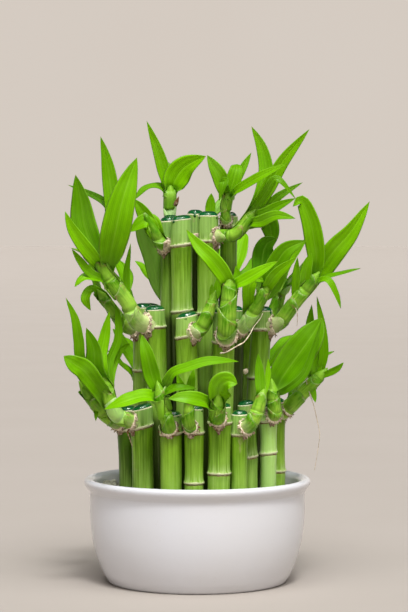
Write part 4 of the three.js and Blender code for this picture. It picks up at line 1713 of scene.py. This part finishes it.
@dataclass(frozen=True)
class Leaf:
    """One leaf: its sheath wraps the stem, its blade opens and ends in a drawn-out point.

    Shares of its length run from 0, where it leaves the stem, to 1 at the tip. Its sheath has the
    shares from -1 to 0.
    """

    path: Course
    width: float
    azimuth: float
    elevation: float
    tint: float
    lot: float
    stem: Course
    start: float
    clasp: float
    sheath: float
    stations: int = 22
    half_columns: int = 5
    sheath_stations: tuple[float, ...] = (-0.92, -0.75, -0.5, -0.25)
    last_station: float = 0.985
    narrowest: float = 0.012
    widest_hug: float = 120.0
    hug_width: float = 0.66
    ripple: float = 0.035
    groove: float = 0.12
    edge: float = 0.12
    body: float = 0.34

    def _seat(self, share: float) -> tuple[Vector, Vector, Vector]:
        """Give the middle of a section and the two directions across it.

        Args:
            share: Share of the leaf's length.

        Returns:
            The middle, the direction to its side and the one that its upper face looks in.
        """
        heading = self.path.heading(max(share, 0.0))
        side = heading.cross(facing(self.azimuth, self.elevation)).normalized()
        middle = self.path.at(max(share, 0.0))
        below = self.start + min(share, 0.0) * self.sheath
        if share < 0:
            middle = self.stem.at(below)
        heading = self.stem.heading(below).lerp(heading, profile_at(LEAF_TURN, share))
        heading.normalize()
        side = (side - heading * side.dot(heading)).normalized()
        return middle, side, side.cross(heading).normalized()

    def _section(self, pelt: Pelt, share: float) -> list[int]:
        """Add one section: a clasp round the stem that opens into the blade.

        Args:
            pelt: The mesh to add to.
            share: Share of the leaf's length.

        Returns:
            The row's indices.
        """
        middle, side, rise = self._seat(share)
        half = self.width / 2 * max(outline_at(LEAF_WIDTHS, max(share, 0.0)), self.narrowest)
        fold = math.radians(profile_at(LEAF_FOLDS, share))
        open_share = profile_at(LEAF_OPENING, share)
        hug = min(math.radians(self.widest_hug), self.hug_width * self.width / self.clasp)
        hug *= (1 + min(share, 0.0)) ** 0.2
        ripple = self.ripple * self.width * math.sin(share * 11 + self.lot * 6.3)
        ripple *= math.sin(share * math.pi)
        upper = []
        lower = []
        columns = range(-self.half_columns, self.half_columns + 1)
        span = [column / self.half_columns for column in columns]
        for across in span:
            reach = half * across * math.cos(fold * 0.9)
            lift = half * math.sin(fold) * abs(across) ** 1.25 + ripple * across * abs(across)
            blade = middle + side * reach + rise * lift
            curl = across * hug
            round_it = side * (self.clasp * math.sin(curl)) - rise * (self.clasp * math.cos(curl))
            spot = (middle + round_it).lerp(blade, open_share)
            out = side * math.sin(curl) - rise * math.cos(curl)
            out = out.lerp(-rise, open_share).normalized()
            thick = self.edge + self.body * (1 - abs(across)) ** 1.5 * (1 - 0.6 * share)
            groove = self.groove * math.exp(-((across / 0.12) ** 2))
            upper.append(spot - out * (thick - groove))
            lower.append(spot + out * thick)
        ring = [*upper, *reversed(lower[1:-1])]
        sideways = [*span, *reversed(span[1:-1])]
        under = [0.0] * len(span) + [1.0] * (len(span) - 2)
        return pelt.row(ring, tint=self.tint, along=share, across=sideways, under=under)

    def grow(self, pelt: Pelt, slot: int) -> None:
        """Add the leaf to a shoot.

        Args:
            pelt: The shoot's mesh.
            slot: Material slot of leaves.
        """
        if self.sheath > 0:
            middle, _, rise = self._seat(-1.0)
            rows = [pelt.row([middle - rise * self.clasp], tint=self.tint, along=-1.0)]
            rows += [self._section(pelt, share) for share in self.sheath_stations]
        else:
            rows = [pelt.row([self.path.at(0)], tint=self.tint)]
        shares = [*(index / self.stations for index in range(self.stations)), self.last_station]
        rows += [self._section(pelt, share) for share in shares]
        rows.append(pelt.row([self.path.at(1)], tint=self.tint, along=1.0))
        pelt.loft(rows, slot)


@dataclass(frozen=True)
class Sheath:
    """One leaf sheath of a stem: where it starts and ends, and its pointed flap."""

    start: float
    end: float
    lean: float
    flap: float
    towards: float


class Seat(NamedTuple):
    """A place on a stem: its middle, its heading, and a level and a rising way across it."""

    middle: Vector
    heading: Vector
    across: Vector
    rise: Vector

    def spoke(self, angle: float) -> Vector:
        """Give the direction away from the middle at an angle."""
        return self.across * math.cos(angle) + self.rise * math.sin(angle)


@dataclass(frozen=True)
class Shoot:
    """A side shoot: a collar on the cane, a stem of overlapping sheaths, and its leaves."""

    name: str
    cane: Cane
    stem: Course
    radii: tuple[float, ...]
    leaves: tuple[Leaf, ...]
    pallor: float = 0.0
    sides: int = 18
    sheath_rows: Stops = (
        (0.0, 0.94), (0.12, 0.96), (0.35, 0.98), (0.6, 0.99), (0.82, 1.0), (1.0, 1.02), (1.0, 0.98),
    )
    tip_rows: Stops = ((0.3, 0.9), (0.8, 0.74), (1.4, 0.5), (2.0, 0.22))
    shortest_sheath: float = 3.0
    sheath_length: tuple[float, float] = (5.0, 10.0)
    lean: tuple[float, float] = (0.3, 0.9)
    flap: tuple[float, float] = (1.0, 4.6)
    last_flap: tuple[float, float] = (2.5, 4.5)
    swerve: float = 0.7
    lip_depth: float = 0.3
    flap_spread: float = 0.22
    exit_gap: float = 0.4
    usual_exit: float = 0.3
    collar_sides: int = 44
    collar_width: float = 0.8
    collar_point: float = 2.4
    collar_tooth: float = 2.2
    collar_tints: tuple[float, ...] = (0.75, 0.9, 0.75, 0.5, 0.12, 0.12)
    scales: int = 26
    scale_length: tuple[float, float] = (0.9, 2.4)
    scale_width: tuple[float, float] = (0.35, 0.8)
    scale_thickness: float = 0.12
    scale_droop: float = 0.3

    def _seat(self, share: float) -> Seat:
        """Give the place at a share of the stem's length.

        Args:
            share: The share.

        Returns:
            The place.
        """
        start, end = self.stem.at(0), self.stem.at(1)
        outward = Vector((end.x - start.x, end.y - start.y, 0)).normalized()
        sideways = Vector((-outward.y, outward.x, 0))
        heading = self.stem.heading(share)
        rise = heading.cross(sideways).normalized()
        return Seat(self.stem.at(share), heading, rise.cross(heading).normalized(), rise)

    def _sheaths(self, draw: random.Random) -> list[Sheath]:
        """Share the stem out into sheaths of uneven length.

        Args:
            draw: Source of the unevenness.

        Returns:
            The sheaths from the cane outwards.
        """
        length = self.stem.length()
        cuts = [0.0]
        while cuts[-1] < length - self.shortest_sheath:
            cuts.append(cuts[-1] + draw.uniform(*self.sheath_length))
        cuts[-1] = length
        sheaths = []
        for index, (start, end) in enumerate(zip(cuts, cuts[1:])):
            lean = draw.uniform(*self.lean) * (1 if index % 2 else -1)
            towards = draw.uniform(-self.swerve, self.swerve) + (0.0 if index % 2 else math.pi)
            flap = draw.uniform(*(self.flap if index < len(cuts) - 2 else self.last_flap))
            sheaths.append(Sheath(start / length, end / length, lean, flap, towards))
        return sheaths

    def _stem(self, pelt: Pelt) -> None:
        """Add the stem: each sheath widens to its lip, and the next one comes out of it.

        Args:
            pelt: The mesh to add to.
        """
        draw = random.Random(self.name + " stem")
        rows = [pelt.row([self.stem.at(0)], tint=0.5)]
        last = len(self.sheath_rows) - 1
        for sheath in self._sheaths(draw):
            tint = draw.random() + self.pallor
            for number, (part, grow) in enumerate(self.sheath_rows):
                rows.append(self._sheath_row(pelt, sheath, part, grow, tint, number == last))
        seat = self._seat(1)
        girth = self.radii[-1]
        marks = {"tint": 0.4, "along": 1.0, "ring": 0.5}
        for forward, grow in self.tip_rows:
            middle = seat.middle + seat.heading * (forward * girth)
            reach = grow * girth
            ring = [middle + seat.spoke(angle) * reach for angle in turns(self.sides)]
            rows.append(pelt.row(ring, **marks))
        rows.append(pelt.row([seat.middle + seat.heading * (2.4 * girth)], **marks))
        pelt.loft(rows, 0)

    def _sheath_row(
        self, pelt: Pelt, sheath: Sheath, part: float, grow: float, tint: float, inner: bool
    ) -> list[int]:
        """Add one row of a sheath.

        Args:
            pelt: The mesh to add to.
            sheath: The sheath.
            part: Share of the sheath's own length.
            grow: Factor on the stem's radius.
            tint: How pale the sheath is.
            inner: Whether the row is the inner edge of the lip.

        Returns:
            The row's indices.
        """
        share = sheath.start + (sheath.end - sheath.start) * part
        middle, heading, across, rise = self._seat(share)
        radius = girth_at(self.radii, share) * grow
        points = []
        angles = turns(self.sides)
        for angle in angles:
            lump = 1 + 0.05 * sway(angle, sheath.start * 40 + part)
            level = radius * lump * math.cos(angle)
            flap = sheath.flap * max(0.0, math.cos(angle - sheath.towards)) ** 4 * part ** 3
            forward = level * sheath.lean * part + flap - (self.lip_depth if inner else 0.0)
            spread = self.flap_spread * flap
            points.append(
                middle
                + across * (level + spread * math.cos(angle))
                + rise * (radius * lump + spread) * math.sin(angle)
                + heading * forward
            )
        around_it = [math.cos(angle - sheath.towards) for angle in angles]
        step = 0.9 * part if inner else part
        return pelt.row(points, tint=tint, along=share, across=around_it, ring=step)

    def _exit(self) -> float:
        """Give the share of the stem at which it comes out of its cane.

        Returns:
            The share.
        """
        for step in range(1, 60):
            share = step / 100
            spot = self.stem.at(share)
            axis = self.cane.centre(spot.z)
            reach = self.cane.width / 2 + self.exit_gap
            if math.hypot(spot.x - axis.x, spot.y - axis.y) > reach:
                return share
        return self.usual_exit

    def _hug(self, spot: Vector, lift: float) -> Vector:
        """Move a point level onto the cane's skin.

        Args:
            spot: The point.
            lift: How far it stands off the skin.

        Returns:
            The moved point.
        """
        axis = self.cane.centre(spot.z)
        away = Vector((spot.x - axis.x, spot.y - axis.y, 0))
        if away.length < 0.1:
            return spot
        return Vector((axis.x, axis.y, spot.z)) + away.normalized() * (self.cane.width / 2 + lift)

    def _collar(self, pelt: Pelt, slot: int) -> None:
        """Add the corky collar between cane and stem, with its point below and its torn scales.

        Args:
            pelt: The mesh to add to.
            slot: Material slot of dry growth.
        """
        draw = random.Random(self.name + " collar")
        share = self._exit()
        seat = self._seat(share)
        middle, heading = seat.middle, seat.heading
        radius = girth_at(self.radii, share)
        phase = draw.uniform(0, 6)
        teeth = [draw.random() ** 2 * self.collar_tooth for _ in range(self.collar_sides)]
        spread = []
        pallor = []
        for angle, tooth in zip(turns(self.collar_sides), teeth):
            spoke = seat.spoke(angle)
            down = max(0.0, -spoke.normalized().z)
            lump = 1 + 0.3 * sway(angle, phase) + draw.uniform(-0.18, 0.18)
            lump *= 0.45 + 0.55 * down ** 0.5
            pallor.append(0.45 * (1 - down))
            drop = self.collar_point * down ** 6 + tooth * (0.35 + 0.65 * down)
            reach = radius * 1.08 + self.collar_width + drop
            flank = middle + spoke * (radius * 1.05 + 0.55 * lump)
            spread.append((
                middle + spoke * (radius * 0.9) + heading * (1.3 * lump),
                middle + spoke * (radius * 1.04) + heading * (1.0 * lump),
                flank + heading * (0.1 + 0.35 * lump),
                self._hug(middle + spoke * (radius * 1.08 + 0.7 * lump), 0.4 * lump + 0.1),
                self._hug(middle + spoke * reach, 0.25),
                self._hug(middle + spoke * reach, -0.5),
            ))
        bands = [
            pelt.row(ring, tint=[tint + light for light in pallor])
            for ring, tint in zip(zip(*spread), self.collar_tints)
        ]
        pelt.loft([*bands, bands[0]], slot)
        for _ in range(self.scales):
            self._scale(pelt, slot, draw, seat, radius)

    def _scale(
        self, pelt: Pelt, slot: int, draw: random.Random, seat: Seat, radius: float
    ) -> None:
        """Add one torn, papery scale that sticks out of the collar.

        Args:
            pelt: The mesh to add to.
            slot: Material slot of dry growth.
            draw: Source of its place and shape.
            seat: The collar's place.
            radius: Radius of the stem there.
        """
        angle = draw.uniform(0, math.tau)
        spoke = seat.spoke(angle)
        flank = seat.rise * math.cos(angle) - seat.across * math.sin(angle)
        flank *= draw.uniform(*self.scale_width)
        root = seat.middle + spoke * (radius * 1.03 + 0.35) + seat.heading * draw.uniform(-0.2, 0.9)
        away = spoke * draw.uniform(0.2, 0.9) + seat.heading * draw.uniform(-0.9, 1.0)
        away += Vector((0, 0, -self.scale_droop))
        length = draw.uniform(*self.scale_length)
        tip = root + away.normalized() * length + flank * draw.uniform(-1.0, 1.0)
        out = away.cross(flank).normalized() * self.scale_thickness
        tint = draw.uniform(0.2, 1.0)

        def band(at: Vector, side: Vector, light: float) -> list[int]:
            """Add a flat row of four points."""
            corners = [at - side + out, at + side + out, at + side - out, at - side - out]
            return pelt.row(corners, tint=light)

        base = band(root, flank, tint)
        mid = band(root.lerp(tip, 0.55), flank * 0.7, tint * 0.8)
        end = pelt.row([tip], tint=tint * 0.3)
        pelt.loft([pelt.row([root], tint=tint), base, mid, end], slot)

    def build(self, finishes: Finishes) -> None:
        """Build the shoot and dress it.

        Args:
            finishes: Every material.
        """
        pelt = Pelt(("tint", "along", "across", "under", "ring"))
        self._stem(pelt)
        self._collar(pelt, 2)
        for leaf in self.leaves:
            leaf.grow(pelt, 1)
        piece = pelt.build(f"{self.name}_grown", [finishes.stem, finishes.leaf, finishes.dry])
        stand_for(piece, Slot.SHOOT, self.name)


@dataclass(frozen=True)
class Strand:
    """A thin root or a dry fibre."""

    points: tuple[Point, ...]
    radius: float
    tint: float
    steps: int = 14
    sides: int = 6

    def grow(self, pelt: Pelt) -> None:
        """Add the strand to a mesh, thinner towards its end.

        Args:
            pelt: The mesh to add to.
        """
        line = course(self.points)
        steps = self.steps * (len(self.points) - 1)
        rows = [pelt.row([line.at(0)], tint=self.tint)]
        for index in range(steps + 1):
            share = index / steps
            heading = line.heading(share)
            across = heading.cross(Vector((0.3, 1.0, 0.2))).normalized()
            seat = Seat(line.at(share), heading, across, heading.cross(across).normalized())
            radius = self.radius * (1 - 0.65 * share) * (1 + 0.15 * math.sin(share * 40))
            ring = [seat.middle + seat.spoke(angle) * radius for angle in turns(self.sides)]
            rows.append(pelt.row(ring, tint=self.tint))
        rows.append(pelt.row([line.at(1)], tint=self.tint))
        pelt.loft(rows)


STRANDS = (
    Strand((
        (12.5, -44, 130.6), (15.8, -47, 131.4), (21.5, -47.5, 134.7), (25.3, -46, 136.8),
        (28.6, -42, 140.9), (30.8, -38, 144.7), (34.2, -33, 148.6), (35.9, -31, 151.8),
    ), 0.42, 0.9),
    Strand((
        (57, -11, 119.5), (59.7, -13, 116.7), (61.3, -14, 109.6), (64.6, -15, 99.7),
        (67.6, -15, 86.4), (67.9, -15, 82.8), (66.8, -15, 74.3), (65.1, -15, 63.8),
    ), 0.3, 0.72),
    Strand(((54, -14, 155), (55.1, -18, 151.8), (55.3, -18.5, 148), (55.1, -18, 144.1)), 0.3, 0.6),
    Strand(((-36, -31, 89), (-38, -33, 87), (-36.9, -33.6, 83.3), (-35.5, -33.2, 78.9)), 0.5, 0.15),
)


@dataclass(frozen=True)
class Bud:
    """A small pointed bud at a node."""

    base: Point
    tip: Point
    radius: float
    tint: float
    sides: int = 12
    swell: Stops = ((0.0, 0.85), (0.2, 1.05), (0.42, 1.0), (0.62, 0.72), (0.82, 0.4), (0.95, 0.12))

    def grow(self, pelt: Pelt) -> None:
        """Add the bud to a mesh.

        Args:
            pelt: The mesh to add to.
        """
        start, end = Vector(self.base), Vector(self.tip)
        heading = (end - start).normalized()
        across = heading.orthogonal().normalized()
        seat = Seat(start, heading, across, heading.cross(across))
        rows = [pelt.row([start], tint=self.tint)]
        for share, grow in self.swell:
            ring = []
            for angle in turns(self.sides):
                radius = self.radius * grow * (1 + 0.1 * math.sin(3 * angle))
                ring.append(start.lerp(end, share) + seat.spoke(angle) * radius)
            rows.append(pelt.row(ring, tint=self.tint * (1 - 0.4 * share)))
        rows.append(pelt.row([end], tint=self.tint * 0.5))
        pelt.loft(rows)


BUDS = (
    Bud((-1.8, -18.0, 192.6), (0.6, -21.6, 195.4), 1.7, 0.95),
    Bud((26.2, -26.8, 118.8), (27.4, -29.4, 121.4), 1.4, 1.0),
    Bud((-12.5, 10.5, 210.5), (-10.2, 9.0, 216.0), 1.2, 0.1),
    Bud((-17.2, -8.5, 188.4), (-17.9, -17.6, 190.0), 3.7, 1.0),
)


def listed_leaves(name: str, row: ShootRow) -> tuple[Leaf, ...]:
    """Make the leaves of a shoot.

    Args:
        name: The shoot's name.
        row: What is listed of it.

    Returns:
        The leaves.
    """
    draw = random.Random(name)
    stem = course(row.stem)
    leaves = []
    for index, (start, width, azimuth, elevation, points) in enumerate(row.leaves):
        path = Course((stem.at(start), *(Vector(point) for point in points)))
        lot = draw.random()
        tint = row.tints[index] if index < len(row.tints) else TINT_LEAST + TINT_BY_LOT * lot
        clasp = girth_at(row.radii, start) * CLASP_FACTOR + CLASP_GAP + CLASP_STEP * (index % 4)
        longest = (SHEATH_LEAST + SHEATH_BY_WIDTH * width) / stem.length()
        sheath = min(longest, start * SHEATH_SHARE)
        if width < WIDTH_WITH_SHEATH:
            clasp, sheath = width * NARROW_CLASP, 0.0
        leaves.append(Leaf(path, width, azimuth, elevation, tint, lot, stem, start, clasp, sheath))
    return tuple(leaves)


def back_row(cane: Cane, towards: float, size: float, hand: int) -> ShootRow:
    """Lay out a back shoot by the rule that the solids use.

    Args:
        cane: The cane that it grows from.
        towards: Angle that it grows towards.
        size: Factor on all its lengths.
        hand: 1 or -1, the side of its first leaf.

    Returns:
        Its row, as those of the listed shoots.
    """
    node = cane.nodes[0]
    middle = cane.centre(node)

    def place(angle: float, out: float, up: float) -> Point:
        """Give a point from the node.

        Args:
            angle: The direction.
            out: Distance outwards.
            up: Distance upwards.

        Returns:
            The point.
        """
        turn = math.radians(angle)
        level = node + BACK_RISE
        return (middle.x + out * math.sin(turn), middle.y - out * math.cos(turn), level + up)

    stem = [place(towards, out * size, up * size) for out, up in zip(BACK_STEM_OUT, BACK_STEM_UP)]
    reach = BACK_STEM_OUT[-1] * size
    rise = BACK_STEM_UP[-1] * size
    leaves = []
    for swing, length, steep, width in BACK_LEAVES:
        angle = towards + hand * swing
        flat = length * size / math.hypot(1, steep)
        points = []
        for share in BACK_LEAF_SHARES:
            climb = flat * steep * share * (1.2 - 0.25 * share * share)
            points.append(place(angle, reach + flat * share, rise + climb))
        leaves.append((1, width * size, angle + 180, BACK_LEAF_TILT, tuple(points)))
    radii = tuple(radius * size for radius in BACK_STEM_RADII)
    return ShootRow(tuple(stem), radii, tuple(leaves))


@dataclass(frozen=True)
class Sun:
    """Light that falls evenly from one broad side. Angles are in degrees."""

    name: str
    elevation: float
    azimuth: float
    spread: float
    power: float

    def hang(self) -> None:
        """Put the light in the scene."""
        data = bpy.data.lights.new(self.name, "SUN")
        data.angle = math.radians(self.spread)
        data.energy = self.power
        lamp = link(self.name, data)
        source = facing(self.azimuth, self.elevation)
        lamp.location = source * 2
        lamp.rotation_euler = (-source).to_track_quat("-Z", "Y").to_euler()


@dataclass(frozen=True)
class Lamp:
    """Square soft lamp that faces the arrangement, in metres and watts."""

    name: str
    spot: Point
    size: float
    power: float
    target: Point = (0.0, 0.0, 0.12)

    def hang(self) -> None:
        """Put the light in the scene."""
        data = bpy.data.lights.new(self.name, "AREA")
        data.shape = "SQUARE"
        data.size = self.size
        data.energy = self.power
        lamp = link(self.name, data)
        lamp.location = self.spot
        aim = Vector(self.target) - Vector(self.spot)
        lamp.rotation_euler = aim.to_track_quat("-Z", "Y").to_euler()


@dataclass(frozen=True)
class Studio:
    """Plain pale ground, soft light and the camera."""

    eye: Point = (0.0, -1.311, 0.2053)
    pitch: float = 2.22
    yaw: float = 0.166
    lens: float = 137.9
    sensor: float = 36.0
    clip: tuple[float, float] = (0.05, 60.0)
    near: float = 600.0
    reach: float = 14000.0
    wall_depth: float = 150.0
    wall: float = 3600.0
    sides: int = 96
    sky: Colour = (1.0, 0.97, 0.94, 1.0)
    sky_power: float = 0.09
    lights: tuple[Sun | Lamp, ...] = (
        Sun("key", 63.0, 11.0, 10.0, 1.7),
        Sun("soft_key", 66.0, 11.0, 55.0, 3.3),
        Lamp("fill", (0.25, -1.5, 0.95), 0.8, 2.5),
    )

    def _ground(self, finishes: Finishes) -> None:
        """Lay the round ground and raise a low pale wall round its far edge.

        Args:
            finishes: Every material.
        """
        pelt = Pelt(())
        rows = [pelt.row([Vector((0, 0, 0))])]
        edges = ((self.near, 0.0), (self.reach, 0.0), (self.reach + self.wall_depth, self.wall))
        rows += [pelt.row(level_ring(*edge, self.sides)) for edge in edges]
        pelt.loft(rows[:3], 0)
        pelt.loft(rows[2:], 1)
        ground = pelt.build("ground", [finishes.table, finishes.wall])

    def _sky(self) -> None:
        """Fill the room with even light."""
        world = bpy.data.worlds.new("room")
        world.use_nodes = True
        background = world.node_tree.nodes["Background"]
        background.inputs["Color"].default_value = self.sky
        background.inputs["Strength"].default_value = self.sky_power
        bpy.context.scene.world = world
        bpy.context.scene.view_settings.view_transform = "Standard"

    def _camera(self) -> None:
        """Set the camera at the viewing angle."""
        data = bpy.data.cameras.new("camera")
        data.sensor_width = self.sensor
        data.lens = self.lens
        data.clip_start, data.clip_end = self.clip
        camera = link("camera", data)
        camera.location = self.eye
        camera.rotation_euler = (math.radians(90 - self.pitch), 0.0, math.radians(-self.yaw))
        bpy.context.scene.camera = camera

    def build(self, finishes: Finishes) -> None:
        """Set up the studio.

        Args:
            finishes: Every material.
        """
        self._ground(finishes)
        for light in self.lights:
            light.hang()
        self._sky()
        self._camera()


@dataclass(frozen=True)
class Arrangement:
    """The whole arrangement: bowl, gravel, canes and shoots."""

    seed: int = 5

    def canes(self) -> dict[str, Cane]:
        """Make the canes from the table.

        Returns:
            The canes by name.
        """
        draw = random.Random(self.seed)
        made = {}
        for tier, rows in CANE_ROWS.items():
            for number, (*sizes, shade, painted_shade_height) in enumerate(rows, 1):
                lot = draw.uniform(0.3, 0.8)
                name = f"{tier}_cane_{number:02d}"
                made[name] = Cane(name, *sizes, lot if shade is None else shade, painted_shade_height)
        return made

    def shoots(self, canes: Mapping[str, Cane]) -> list[Shoot]:
        """Make the listed shoots and, at the back, those by rule. Each has its cane's number.

        Args:
            canes: The canes by name.

        Returns:
            All the shoots.
        """
        made = []
        for name in (*SHOOTS, *BACK_SHOOTS):
            cane = canes[name.replace("shoot", "cane")]
            row = SHOOTS[name] if name in SHOOTS else back_row(cane, *BACK_SHOOTS[name])
            leaves = listed_leaves(name, row)
            made.append(Shoot(name, cane, course(row.stem), row.radii, leaves, row.pallor))
        return made

    def build(self, finishes: Finishes) -> None:
        """Build everything and set it on the frame.

        Args:
            finishes: Every material.
        """
        canes = self.canes()
        Bowl().build(finishes)
        Gravel(tuple(canes.values())).build(finishes)
        for cane in canes.values():
            cane.build(finishes)
        for shoot in self.shoots(canes):
            shoot.build(finishes)
        self._fine_growth(finishes)

    def _fine_growth(self, finishes: Finishes) -> None:
        """Add the thin roots and fibres, and the buds.

        Args:
            finishes: Every material.
        """
        for name, growths, slot in (
            ("aerial_roots", STRANDS, Slot.SHOOT), ("node_buds", BUDS, Slot.CANE),
        ):
            pelt = Pelt(("tint",))
            for growth in growths:
                growth.grow(pelt)
            stand_for(pelt.build(name, [finishes.dry]), slot)


def main() -> None:
    """Load the frame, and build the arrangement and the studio."""
    logging.basicConfig(level=logging.INFO, format="%(message)s")
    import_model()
    finishes = Finishes()
    Arrangement().build(finishes)
    Studio().build(finishes)


if __name__ == "__main__":
    main()
